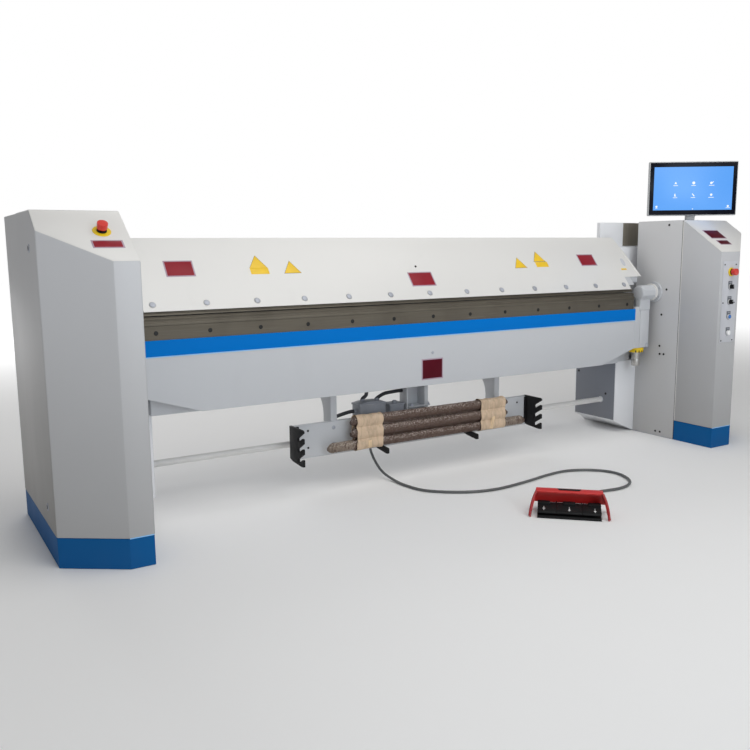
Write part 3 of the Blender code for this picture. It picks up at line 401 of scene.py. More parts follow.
@dataclass(frozen=True)
class Moulded(Finish):
    """Moulded plastic or rubber: fine grain, rubbed patches and dust in the grain."""

    grain: float = 600.0
    depth: float = 0.18
    rub: float = 0.25
    coat: float = 0.0
    shine: float = 0.5

    def draw(self, graph: Graph) -> None:
        """Draw the plastic.

        Args:
            graph: The nodes of the finish\'s material.
        """
        fine = graph.noise(self.grain, 3.0)
        patch = graph.noise(14.0, 4.0)
        body = graph.mix(patch, self.tone(0.85), self.tone(1.18))
        dusty = graph.mix(fine.rising(0.55, 0.8) * patch * self.rub, body, (0.42, 0.40, 0.37))
        graph.set(
            Base_Color=dusty,
            Roughness=self.roughness + (patch - 0.5) * 0.22,
            Coat_Weight=self.coat,
            Specular_IOR_Level=self.shine,
        )
        graph.bump(fine, self.depth, 0.0006)


@dataclass(frozen=True)
class Wrapping(Finish):
    """Paper round steel: fibres, creases round the bar with painted shade along them, and shiny pale crests
    painted as highlights on the side that faces up.
    """

    painted_highlight: Colour = (0.5, 0.4, 0.3)
    painted_highlight_share: float = 0.5
    crease: float = 60.0
    stretch: Colour = (1.0, 0.4, 0.4)

    def draw(self, graph: Graph) -> None:
        """Draw the paper.

        Args:
            graph: The nodes of the finish\'s material.
        """
        fibre = graph.noise(900.0, 2.0, (0.15, 1.0, 1.0))
        fold = graph.noise(self.crease, 4.0, self.stretch)
        patch = graph.noise(9.0, 3.0)
        # Painted shade: darker lines along the creases.
        crease_shade = 1.0 - (fold - 0.5).rising(0.0, 0.08) - (0.5 - fold).rising(0.0, 0.08)
        body = graph.mix(fibre * 0.4 + patch * 0.6, self.tone(0.72), self.tone(1.3))
        # Painted highlight: pale flecks on the faces that turn up, where light falls on the crests.
        parts = graph.node("ShaderNodeSeparateXYZ", {}, {0: graph.normal})
        upward = Value(graph, parts.outputs[Axis.Z.value]).rising(-0.1, 0.85)
        fleck = graph.noise(self.crease * 2.2, 2.0, (0.6, 1.0, 1.0)).rising(0.47, 0.62)
        painted_highlight = fleck * (upward * 0.85 + 0.10) * self.painted_highlight_share
        graph.set(
            Base_Color=graph.mix(painted_highlight, graph.mix(crease_shade * 0.25, body, self.tone(0.4)), self.painted_highlight),
            Roughness=self.roughness - painted_highlight * 0.3,
        )
        graph.bump(fold * 2.0 + fibre * 0.3, 0.75, 0.0035)


@dataclass(frozen=True)
class Lit(Finish):
    """A lit screen or a mark on it: its light drifts a little from edge to edge."""

    strength: float = 1.0
    far: Colour = (0.1, 0.4, 1.0)

    def draw(self, graph: Graph) -> None:
        """Draw the lit face.

        Args:
            graph: The nodes of the finish\'s material.
        """
        drift = graph.noise(3.0, 1.0)
        cell = graph.noise(1500.0, 1.0)
        glow = graph.mix(drift * 0.8 + cell * 0.2, self.colour, self.far)
        graph.set(
            Base_Color=(0.01, 0.01, 0.012),
            Emission_Color=glow,
            Emission_Strength=self.strength,
            Roughness=self.roughness + cell * 0.05,
        )


@dataclass(frozen=True)
class Backdrop(Finish):
    """Pale matt studio floor that turns into bright backdrop far from the object."""

    near: float = 3.2
    far: float = 11.0
    glow: float = 0.74

    def draw(self, graph: Graph) -> None:
        """Draw the floor.

        Args:
            graph: The nodes of the finish\'s material.
        """
        x = graph.along(Axis.X)
        y = graph.along(Axis.Y)
        away = ((x * x + y * y) ** 0.5).rising(self.near, self.far)
        cloud = graph.noise(0.8, 3.0)
        graph.set(
            Base_Color=graph.mix(cloud, self.tone(0.985), self.tone(1.015)),
            Roughness=self.roughness + (cloud - 0.5) * 0.1,
            Emission_Color=graph.mix(away, (0.0, 0.0, 0.0), (self.glow, self.glow, self.glow)),
            Emission_Strength=1.0,
        )


@dataclass(frozen=True)
class Glazed(Finish):
    """Black cover glass with a trace of wiping."""

    def draw(self, graph: Graph) -> None:
        """Draw the glass.

        Args:
            graph: The nodes of the finish\'s material.
        """
        wipe = graph.noise(12.0, 5.0, (1.0, 1.0, 3.0))
        graph.set(
            Base_Color=graph.mix(wipe, self.tone(0.7), self.tone(1.6)),
            Roughness=self.roughness + wipe.rising(0.5, 0.8) * 0.12,
            Specular_IOR_Level=0.12,
        )


GREY = PowderCoat("looks_grey_paint", Slot.GREY, (0.56, 0.575, 0.60), 0.42)
WALL = PowderCoat("looks_wall_paint", Slot.GREY, (0.625, 0.628, 0.640), 0.40, bottom_darkening=0.24)
FRONT = PowderCoat("looks_front_paint", Slot.GREY, (0.572, 0.580, 0.600), 0.40, bottom_darkening=0.36)
DOOR = PowderCoat("looks_door_paint", Slot.GREY, (0.530, 0.535, 0.550), 0.42, bottom_darkening=0.66)
# Column grey set lighter than the paint's own tone: painted light on the uprights and legs.
COLUMN_PAINT_LIT = PowderCoat("looks_column_paint_lit", Slot.GREY, (0.80, 0.81, 0.835), 0.46)
WHITE = PowderCoat("looks_white_paint", Slot.WHITE, (0.76, 0.75, 0.73), 0.36, drift=0.03)
BLUE = PowderCoat("looks_blue_paint", Slot.BLUE, (0.0, 0.098, 0.30), 0.50, dust=0.05, coat=0.0, shine=0.06)
# The band's blue is set lighter than the plinth's blue: painted light on the band's face, which turns up
# towards the light.
BAND_PAINT_LIT = PowderCoat("looks_band_paint_lit", Slot.BLUE, (0.0, 0.175, 0.60), 0.50, dust=0.0, coat=0.0, shine=0.06)
# Pale blue for the thin strips along the band's lower edge and the plinth's top edge: painted highlights on
# edges that catch the light.
HIGHLIGHT_PAINT = PowderCoat("looks_highlight_paint", Slot.BLUE, (0.30, 0.62, 0.98), 0.40, dust=0.0)
# Dark grey for the sheet on each column leg's inner side: painted shade on the side that lies in shade.
PAINTED_SHADE_SHEET = PowderCoat("looks_painted_shade_sheet", Slot.GREY, (0.185, 0.20, 0.235), 0.50)
RED_RIM = PowderCoat("looks_red_rim", Slot.RED_PAINT, (0.33, 0.011, 0.014), 0.30, dust=0.1, dust_height=0.03)
RED = PowderCoat("looks_red_paint", Slot.RED_PAINT, (0.62, 0.022, 0.02), 0.32, dust=0.1, dust_height=0.03)
PLATE = PowderCoat("looks_plate_paint", Slot.CONTROL_PLATE, (0.58, 0.59, 0.63), 0.36, peel=0.05)
BRONZE = GroundSteel("looks_tool_steel", Slot.TOOL_STEEL, (0.143, 0.126, 0.098), 0.42, metallic=0.50)
STEEL = GroundSteel("looks_bare_steel", Slot.BARE_STEEL, (0.52, 0.51, 0.49), 0.28, 0.95)
UPRIGHT_STEEL = GroundSteel(
    "looks_guide_steel", Slot.BARE_STEEL, (0.24, 0.215, 0.175), 0.35, 0.35, (1.0, 1.0, 0.012), 110.0
)
BOLT = GroundSteel("looks_zinc", Slot.BARE_STEEL, (0.46, 0.48, 0.54), 0.40, 0.35, (1.0, 1.0, 1.0), 250.0)
RING = GroundSteel(
    "looks_ring_metal", Slot.BARE_STEEL, (0.82, 0.83, 0.85), 0.30, 0.20, (1.0, 1.0, 1.0), 250.0
)
OXIDE = GroundSteel(
    "looks_black_oxide", Slot.BLACK_PAINT, (0.02, 0.02, 0.02), 0.42, 0.5, (1.0, 1.0, 1.0), 200.0
)
BLACK = Moulded("looks_black_plastic", Slot.BLACK_PLASTIC, (0.008, 0.008, 0.009), 0.50, rub=0.12, shine=0.25)
DARK = Moulded("looks_dark_plastic", Slot.DARK_PLASTIC, (0.115, 0.125, 0.145), 0.48, shine=0.4)
SILVER = Moulded("looks_silver", Slot.SILVER, (0.46, 0.47, 0.48), 0.30, depth=0.08, rub=0.05, coat=0.2)
YELLOW = Moulded("looks_yellow", Slot.YELLOW, (0.80, 0.56, 0.01), 0.40, rub=0.1)
CAP_RED = Moulded("looks_cap_red", Slot.RED_PLASTIC, (0.66, 0.030, 0.018), 0.33, rub=0.08, coat=0.25)
LENS_WHITE = Moulded("looks_lens_white", Slot.WHITE_PLASTIC, (0.93, 0.94, 0.95), 0.25, rub=0.0, coat=0.3)
LENS_BLUE = Moulded("looks_lens_blue", Slot.BLUE_PLASTIC, (0.03, 0.16, 0.50), 0.25, rub=0.03, coat=0.5)
SIGN_RED = Moulded(
    "looks_sign_red", Slot.RED_PAINT, (0.27, 0.012, 0.024), 0.42, depth=0.04, rub=0.02, shine=0.25
)
SIGN_MAROON = Moulded(
    "looks_sign_maroon", Slot.RED_PAINT, (0.085, 0.002, 0.010), 0.46, depth=0.04, rub=0.01, shine=0.12
)
SIGN_LIGHT = Moulded("looks_sign_edge", Slot.WHITE_PLASTIC, (0.42, 0.30, 0.38), 0.40, depth=0.04, rub=0.04)
SIGN_YELLOW = Moulded("looks_sign_yellow", Slot.YELLOW, (0.88, 0.56, 0.02), 0.38, depth=0.04, rub=0.04)
BOX = Moulded("looks_box_plastic", Slot.DARK_PLASTIC, (0.27, 0.285, 0.32), 0.45)
TREAD = Moulded("looks_tread", Slot.PEDAL, (0.009, 0.009, 0.010), 0.60, depth=0.4, rub=0.14, shine=0.22)
RUBBER = Moulded("looks_cable", Slot.CABLE, (0.105, 0.110, 0.112), 0.35, rub=0.35)
LEAD = Moulded("looks_lead", Slot.CABLE, (0.020, 0.022, 0.028), 0.38, rub=0.2)
BAR_PAPER = Wrapping(
    "looks_bar_wrap", Slot.WRAPPED_BAR, (0.085, 0.047, 0.032), 0.55, (0.50, 0.42, 0.38), 1.0, 95.0
)
END_PAPER = Wrapping(
    "looks_end_wrap", Slot.WRAPPED_BAR, (0.205, 0.155, 0.118), 0.60, (0.46, 0.41, 0.36), 0.8, 70.0
)
PAPER = Wrapping("looks_paper", Slot.PAPER, (0.62, 0.465, 0.325), 0.78, (0.74, 0.60, 0.46), 0.4, 22.0)
TAPE = Wrapping("looks_tape", Slot.PAPER, (0.80, 0.58, 0.36), 0.30, (0.75, 0.6, 0.42), 0.3, 30.0)
PANE = Lit("looks_screen", Slot.GLASS, (0.075, 0.34, 0.95), 0.30, 0.95, (0.13, 0.43, 1.0))
MARK = Lit("looks_screen_mark", Slot.WHITE_PLASTIC, (0.85, 0.92, 1.0), 0.2, 1.0, (0.95, 0.97, 1.0))
GLASS = Glazed("looks_glass", Slot.GLASS, (0.003, 0.004, 0.009), 0.15)


class Stock:
    """Material worked into one piece, in layout coordinates."""

    def __init__(self) -> None:
        """Start with nothing."""
        self.mesh = bmesh.new()

    def add(self, part: bmesh.types.BMesh, frame: Matrix, edge: float = 0.0, segments: int = 2) -> "Stock":
        """Bevel a shape's hard edges, set it in a frame and add it to the piece.

        Args:
            part: The shape, which is used up.
            frame: Where its own origin and axes go.
            edge: Width of the bevel on its hard edges.
            segments: Steps across the bevel.

        Returns:
            The piece.
        """
        bmesh.ops.remove_doubles(part, verts=part.verts, dist=1e-6)
        bmesh.ops.recalc_face_normals(part, faces=part.faces)
        bmesh.ops.transform(part, matrix=frame, verts=part.verts)
        if edge > 0.0:
            hard = [line for line in part.edges if line.calc_face_angle(0.0) > SHARP_ANGLE]
            bmesh.ops.bevel(
                part,
                geom=hard,
                offset=edge,
                offset_type="OFFSET",
                affect="EDGES",
                segments=segments,
                profile=0.5,
                material=-1,
                clamp_overlap=True,
            )
        carrier = bpy.data.meshes.new("carrier")
        part.to_mesh(carrier)
        part.free()
        self.mesh.from_mesh(carrier)
        bpy.data.meshes.remove(carrier)
        return self

    def box(self, low: Point, high: Point, edge: float = 0.0, frame: Matrix = Matrix()) -> "Stock":
        """Add a box between two corners of a frame.

        Args:
            low: Its lowest corner.
            high: Its highest corner.
            edge: Width of the bevel on its edges.
            frame: Where the corners' own origin and axes go.

        Returns:
            The piece.
        """
        part = bmesh.new()
        size = Vector(high) - Vector(low)
        middle = (Vector(high) + Vector(low)) / 2.0
        grown = Matrix.Translation(middle) @ Matrix.Diagonal((*size, 1.0))
        bmesh.ops.create_cube(part, size=1.0, matrix=grown)
        return self.add(part, frame, edge)

    def drum(
        self,
        start: Point,
        end: Point,
        radius: float,
        edge: float = 0.0,
        far_radius: float | None = None,
        sides: int = 32,
        frame: Matrix = Matrix(),
    ) -> "Stock":
        """Add a drum or cone between two points of a frame.

        Args:
            start: Middle of its first end.
            end: Middle of its other end.
            radius: Radius at its start.
            edge: Width of the bevel on its rims.
            far_radius: Radius at its end, where that differs.
            sides: Facets round it.
            frame: Where the points' own origin and axes go.

        Returns:
            The piece.
        """
        part = bmesh.new()
        run = Vector(end) - Vector(start)
        turn = run.to_track_quat("Z", "Y").to_matrix().to_4x4()
        bmesh.ops.create_cone(
            part,
            cap_ends=True,
            segments=sides,
            radius1=radius,
            radius2=radius if far_radius is None else far_radius,
            depth=run.length,
            matrix=Matrix.Translation((Vector(start) + Vector(end)) / 2.0) @ turn,
        )
        return self.add(part, frame, edge)

    def slab(
        self, outline: Iterable[Point], thickness: Point, edge: float = 0.0, frame: Matrix = Matrix()
    ) -> "Stock":
        """Add a flat outline grown by a thickness.

        Args:
            outline: Corners of the flat face, in order.
            thickness: How far the face is pushed out.
            edge: Width of the bevel on its hard edges.
            frame: Where the corners' own origin and axes go.

        Returns:
            The piece.
        """
        part = bmesh.new()
        face = part.faces.new([part.verts.new(corner) for corner in outline])
        grown = bmesh.ops.extrude_face_region(part, geom=[face])["geom"]
        moved = [item for item in grown if isinstance(item, bmesh.types.BMVert)]
        bmesh.ops.translate(part, verts=moved, vec=thickness)
        return self.add(part, frame, edge)

    def lathe(self, profile: Sequence[tuple[float, float]], frame: Matrix, steps: int = 32) -> "Stock":
        """Add a shape turned about a frame's Z.

        Args:
            profile: Radius and height of each corner, from the axis back to it or round to the first.
            frame: The frame.
            steps: Facets round it.

        Returns:
            The piece.
        """
        part = bmesh.new()
        knots = [part.verts.new((radius, 0.0, height)) for radius, height in profile]
        lines = [part.edges.new(pair) for pair in zip(knots, knots[1:])]
        bmesh.ops.spin(
            part,
            geom=[*knots, *lines],
            cent=(0.0, 0.0, 0.0),
            axis=(0.0, 0.0, 1.0),
            angle=math.tau,
            steps=steps,
            use_merge=True,
        )
        return self.add(part, frame)

    def hex_screw(self, frame: Matrix, radius: float, height: float, socket: float = 0.5) -> "Stock":
        """Add a low round screw head with a six-sided socket in it.

        Args:
            frame: Frame whose Z leaves the surface that the head sits on.
            radius: Radius of the head.
            height: Height of the head.
            socket: Width of the socket as a share of the head's.

        Returns:
            The piece.
        """
        part = bmesh.new()
        bmesh.ops.create_cone(
            part,
            cap_ends=True,
            segments=24,
            radius1=radius,
            radius2=radius * 0.82,
            depth=height,
            matrix=Matrix.Translation((0.0, 0.0, height / 2.0)),
        )
        self.add(part, frame, height * 0.2)
        hole = bmesh.new()
        rim = height * 1.02
        bmesh.ops.create_cone(
            hole,
            cap_ends=True,
            segments=6,
            radius1=radius * socket,
            radius2=radius * socket,
            depth=height * 0.06,
            matrix=Matrix.Translation((0.0, 0.0, rim)),
        )
        top = max(hole.faces, key=lambda face: face.calc_center_median().z)
        bmesh.ops.inset_individual(hole, faces=[top], thickness=radius * 0.1, depth=0.0)
        bmesh.ops.translate(hole, verts=top.verts, vec=(0.0, 0.0, -height * 0.5))
        return self.add(hole, frame)

    def screws(
        self, places: Iterable[Point], out: Point, radius: float, height: float, socket: float = 0.5
    ) -> "Stock":
        """Add a screw head at each of some places.

        Args:
            places: Where the heads sit.
            out: Direction out of the surface under them.
            radius: Radius of a head.
            height: Height of a head.
            socket: Width of the socket as a share of the head's.

        Returns:
            The piece.
        """
        for place in places:
            self.hex_screw(facing(place, out), radius, height, socket)
        return self


class Shop:
    """Delivers worked pieces to the frame and dresses the CAD nodes."""

    def __init__(self, frame: dict) -> None:
        """Find the layout's origin in the loaded frame.

        Args:
            frame: What the frame's loader returned.
        """
        self.nodes = frame["nodes"]
        low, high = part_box("folding_rail")
        self.origin = Vector(((low.x + high.x) / 2.0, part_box("folding_beam")[0].y, 0.0))
        self.count = 0

    def at(self, point: Point) -> Vector:
        """Return a layout point in the row frame."""
        return Vector(point) + self.origin

    def deliver(
        self, stock: Stock, name: str, body: Body, finish: Finish, *stands_for: str
    ) -> bpy.types.Object:
        """Turn stock into a finished object that rides on a body.

        Args:
            stock: The worked piece, which is used up.
            name: The piece's name.
            body: The body it rides on.
            finish: Its surface.
            stands_for: CAD nodes that it is shown in place of.

        Returns:
            The new object.
        """
        mesh = stock.mesh
        bmesh.ops.translate(mesh, verts=mesh.verts, vec=self.origin)
        for face in mesh.faces:
            face.smooth = True
        for line in mesh.edges:
            line.smooth = line.calc_face_angle(0.0) < SHARP_ANGLE
        data = bpy.data.meshes.new(name)
        mesh.to_mesh(data)
        mesh.free()
        made = bpy.data.objects.new(name, data)
        data.materials.append(finish.material())
        bpy.context.scene.collection.objects.link(made)
        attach(made, body.value)
        if stands_for:
            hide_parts(*stands_for)
        self.count += 1
        LOG.info("made %s", name)
        return made

    def dress(self, finish: Finish, edge: float, *names: str) -> None:
        """Give CAD nodes a finish and soft edges.

        Args:
            finish: Their surface.
            edge: Width of the soft edges.
            names: The nodes.
        """
        for name in names:
            node = self.nodes[name]
            node.data.materials.clear()
            node.data.materials.append(finish.material())
            for face in node.data.polygons:
                face.use_smooth = True
            weld = node.modifiers.new("weld", "WELD")
            weld.merge_threshold = 0.0001
            flat = node.modifiers.new("flat", "DECIMATE")
            flat.decimate_type = "DISSOLVE"
            flat.angle_limit = math.radians(0.5)
            soft = node.modifiers.new("soft", "BEVEL")
            soft.width = edge
            soft.segments = 3
            soft.limit_method = "ANGLE"
            soft.angle_limit = SHARP_ANGLE
            soft.harden_normals = True
            LOG.info("dressed %s", name)


def facing(place: Point, out: Point, up: Point | None = None) -> Matrix:
    """Return a frame at a place whose Z points out of a surface and whose Y is as near up as it can be.

    Args:
        place: The frame's origin.
        out: Direction out of the surface.
        up: Direction that Y leans to, where that isn't up, or the back on a level surface.

    Returns:
        The frame.
    """
    z = Vector(out).normalized()
    lean = up or (BACKWARD if z.z == 1.0 else UPWARD)
    x = Vector(lean).cross(z).normalized()
    turn = Matrix((x, z.cross(x), z)).transposed().to_4x4()
    return Matrix.Translation(place) @ turn


def smooth_route(route: Sequence[Point], spacing: float) -> list[Vector]:
    """Return evenly spaced points on a smooth curve through a route, as the part lays its cables.

    Args:
        route: Points that the curve passes.
        spacing: Distance between the returned points, near enough.

    Returns:
        The points.
    """
    anchors = [Vector(point) for point in route]
    ends = [2.0 * anchors[0] - anchors[1], *anchors, 2.0 * anchors[-1] - anchors[-2]]
    fine = []
    for before, start, stop, after in zip(ends, ends[1:], ends[2:], ends[3:]):
        for step in range(24):
            t = step / 24.0
            bend = 2.0 * before - 5.0 * start + 4.0 * stop - after
            curl = 3.0 * start - before - 3.0 * stop + after
            fine.append(0.5 * (2.0 * start + (stop - before) * t + bend * t**2 + curl * t**3))
    fine.append(anchors[-1])
    lengths = [0.0]
    for start, stop in zip(fine, fine[1:]):
        lengths.append(lengths[-1] + (stop - start).length)
    count = max(2, round(lengths[-1] / spacing))
    points = []
    piece = 0
    for number in range(count + 1):
        target = lengths[-1] * number / count
        while piece < len(fine) - 2 and lengths[piece + 1] < target:
            piece += 1
        share = (target - lengths[piece]) / (lengths[piece + 1] - lengths[piece])
        points.append(fine[piece].lerp(fine[piece + 1], min(1.0, share)))
    return points


def row(count: int, pitch: float) -> list[float]:
    """Return places along X, evenly spaced about the middle.

    Args:
        count: How many places.
        pitch: Distance from one place to the next.

    Returns:
        The places.
    """
    return [(index - (count - 1) / 2.0) * pitch for index in range(count)]


SCREW_ROW = row(13, 0.250)


@dataclass(frozen=True)
class PhotoCamera:
    """The photograph's camera, as measured from the machine's own corners."""

    place: Point = (-2.523, -3.544, 1.233)
    turn_degrees: Point = (81.1326, 0.5128, -31.3560)
    focal_pixels: float = 808.7
    frame_pixels: float = 750.0
    sensor: float = 36.0

    def build(self, shop: Shop) -> None:
        """Set up the scene's camera.

        Args:
            shop: Knows where the layout's origin lies.
        """
        data = bpy.data.cameras.new("photo_camera")
        data.sensor_width = self.sensor
        data.lens = self.focal_pixels * self.sensor / self.frame_pixels
        data.clip_end = 200.0
        camera = bpy.data.objects.new("photo_camera", data)
        camera.location = shop.at(self.place)
        camera.rotation_euler = [math.radians(angle) for angle in self.turn_degrees]
        bpy.context.scene.collection.objects.link(camera)
        bpy.context.scene.camera = camera


@dataclass(frozen=True)
class Lamp:
    """One soft square light of the studio."""

    name: str
    place: Point
    aim: Point
    size: float
    watts: float
    colour: Colour

    def build(self) -> None:
        """Hang the light and aim it."""
        data = bpy.data.lights.new(self.name, "AREA")
        data.size = self.size
        data.energy = self.watts
        data.color = self.colour
        lamp = bpy.data.objects.new(self.name, data)
        lamp.location = self.place
        lamp.rotation_euler = (Vector(self.aim) - Vector(self.place)).to_track_quat("-Z", "Y").to_euler()
        bpy.context.scene.collection.objects.link(lamp)


@dataclass(frozen=True)
class Studio:
    """A plain pale floor under soft light."""

    floor_half: float = 30.0
    sky: Colour = (1.0, 1.0, 1.0)
    sky_strength: float = 0.30
    floor: Backdrop = Backdrop("looks_floor", Slot.WHITE, (0.90, 0.90, 0.90), 0.75)
    lamps: tuple[Lamp, ...] = (
        Lamp("lamp_top", (-0.1, -2.0, 4.2), (0.0, 0.1, 0.6), 4.2, 95.0, (1.0, 0.985, 0.955)),
        Lamp("lamp_back", (0.0, 7.5, 4.5), (0.0, 3.5, 0.0), 6.0, 190.0, (1.0, 1.0, 1.0)),
        Lamp("lamp_front", (-0.6, -6.5, 2.3), (0.4, 0.0, 0.7), 3.0, 85.0, (0.84, 0.92, 1.0)),
    )

    def build(self) -> None:
        """Lay the floor and light the scene."""
        part = bmesh.new()
        bmesh.ops.create_grid(part, x_segments=1, y_segments=1, size=self.floor_half)
        data = bpy.data.meshes.new("floor")
        part.to_mesh(data)
        part.free()
        floor = bpy.data.objects.new("floor", data)
        data.materials.append(self.floor.material())
        bpy.context.scene.collection.objects.link(floor)
        world = bpy.data.worlds.new("studio")
        world.use_nodes = True
        nodes = world.node_tree.nodes
        links = world.node_tree.links
        ground = nodes["Background"]
        ground.inputs["Color"].default_value = (*self.sky, 1.0)
        ground.inputs["Strength"].default_value = self.sky_strength
        seen = nodes.new("ShaderNodeBackground")
        seen.inputs["Color"].default_value = (1.0, 1.0, 1.0, 1.0)
        choice = nodes.new("ShaderNodeMixShader")
        links.new(nodes.new("ShaderNodeLightPath").outputs["Is Camera Ray"], choice.inputs[0])
        links.new(ground.outputs[0], choice.inputs[1])
        links.new(seen.outputs[0], choice.inputs[2])
        links.new(choice.outputs[0], nodes["World Output"].inputs["Surface"])
        bpy.context.scene.world = world
        bpy.context.scene.view_settings.view_transform = "Standard"
        for lamp in self.lamps:
            lamp.build()


@dataclass(frozen=True)
class Assembly:
    """A sub-assembly: the shop that its pieces go to, and the body that they ride on."""

    shop: Shop
    body: Body = Body.FRAME

    def build(self) -> None:
        """Dress the CAD nodes and add the small parts."""
        raise NotImplementedError

    def make(self, name: str, stock: Stock, finish: Finish, *stands_for: str) -> None:
        """Deliver a piece that rides on the sub-assembly's body."""
        self.shop.deliver(stock, name, self.body, finish, *stands_for)

    def sign(self, name: str, frame: Matrix, width: float, height: float, finish: Finish = SIGN_RED) -> None:
        """Stick a plain red plate with a pale edge on a surface.

        Args:
            name: Name of the plate.
            frame: Frame at the plate's middle, with Z out of the surface.
            width: Width of the plate.
            height: Height of the plate.
            finish: Finish of its field.
        """
        edge = 0.0065
        half_x, half_y = width / 2, height / 2
        back = Stock().box((-half_x, -half_y, 0.0), (half_x, half_y, 0.0008), 0.0003, frame)
        self.make(f"{name}_edge", back, SIGN_LIGHT)
        low, high = (edge - half_x, edge - half_y, 0.0004), (half_x - edge, half_y - edge, 0.0012)
        self.make(f"{name}_field", Stock().box(low, high, 0.0002, frame), finish)


@dataclass(frozen=True)
class EndAssembly(Assembly):
    """A sub-assembly that stands once at each end, with its side before its pieces' names."""

    side: Side = Side.LEFT

    def make(self, name: str, stock: Stock, finish: Finish, *stands_for: str) -> None:
        """Deliver a piece under its side's name."""
        self.shop.deliver(stock, f"{self.side.label}_{name}", self.body, finish, *stands_for)


@dataclass(frozen=True)
class PedalCable(Assembly):
    """The free cable from the junction box to the foot pedal, with a strain relief at each gland."""

    radius: float = 0.007
    spacing: float = 0.036
    relief_length: float = 0.032
    relief_radius: float = 0.0105
    floor_z: float = 0.0085
    start: tuple[Point, ...] = (
        (-0.310, 0.170, 0.2759), (-0.310, 0.170, 0.225), (-0.302, 0.160, 0.130), (-0.285, 0.090, 0.045),
        (-0.268, -0.010, 0.012),
    )
    lying: tuple[Point, ...] = (
        (-0.264, -0.140), (-0.221, -0.271), (-0.071, -0.391), (0.095, -0.435), (0.297, -0.418),
        (0.480, -0.385), (0.622, -0.378), (0.735, -0.422), (0.812, -0.502), (0.828, -0.590),
        (0.785, -0.690), (0.710, -0.750), (0.610, -0.768), (0.500, -0.752), (0.410, -0.768),
    )
    end: tuple[Point, ...] = ((0.3450, -0.8240, 0.0100), (0.2981, -0.8774, 0.0120), (0.2567, -0.9209, 0.0125))

    def build(self) -> None:
        """Lay the cable and slip a relief over each end."""
        lying = [(x, y, self.floor_z) for x, y in self.lying]
        points = smooth_route([*self.start, *lying, *self.end], self.spacing)
        cord = self.lay(points)
        wide = self.relief_radius
        profile = [
            (0.0, 0.0), (wide, 0.0), (wide, 0.004), (wide * 0.92, 0.006), (wide * 0.88, 0.014),
            (wide * 0.80, 0.024), (self.radius * 1.04, self.relief_length), (0.0, self.relief_length),
        ]
        for name, head, next_point in (("box", points[0], points[1]), ("pedal", points[-1], points[-2])):
            frame = facing(head, (next_point - head).normalized(), (0.3, 0.2, 0.9))
            stock = Stock().lathe(profile, frame)
            self.shop.deliver(stock, f"{name}_strain_relief", Body.FRAME, BLACK)
        length = sum((stop - start).length for start, stop in zip(points, points[1:]))
        self.shop.at(points[0])
        LOG.info("laid the pedal cable, %.3f m", length)

    def lay(self, points: Sequence[Vector]) -> bpy.types.Object:
        """Draw the cable itself, in place of the solid one.

        Args:
            points: Its centreline, as the part lays it.

        Returns:
            The cable.
        """
        curve = bpy.data.curves.new("pedal_cord", "CURVE")
        curve.dimensions = "3D"
        curve.bevel_depth = self.radius
        curve.bevel_resolution = 5
        curve.use_fill_caps = True
        line = curve.splines.new("POLY")
        line.points.add(len(points) - 1)
        for knot, place in zip(line.points, points):
            knot.co = (*self.shop.at(place), 1.0)
        line.use_smooth = True
        curve.materials.append(RUBBER.material())
        cord = bpy.data.objects.new("pedal_cord", curve)
        bpy.context.scene.collection.objects.link(cord)
        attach(cord, Body.FRAME.value)
        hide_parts("pedal_cable")
        return cord


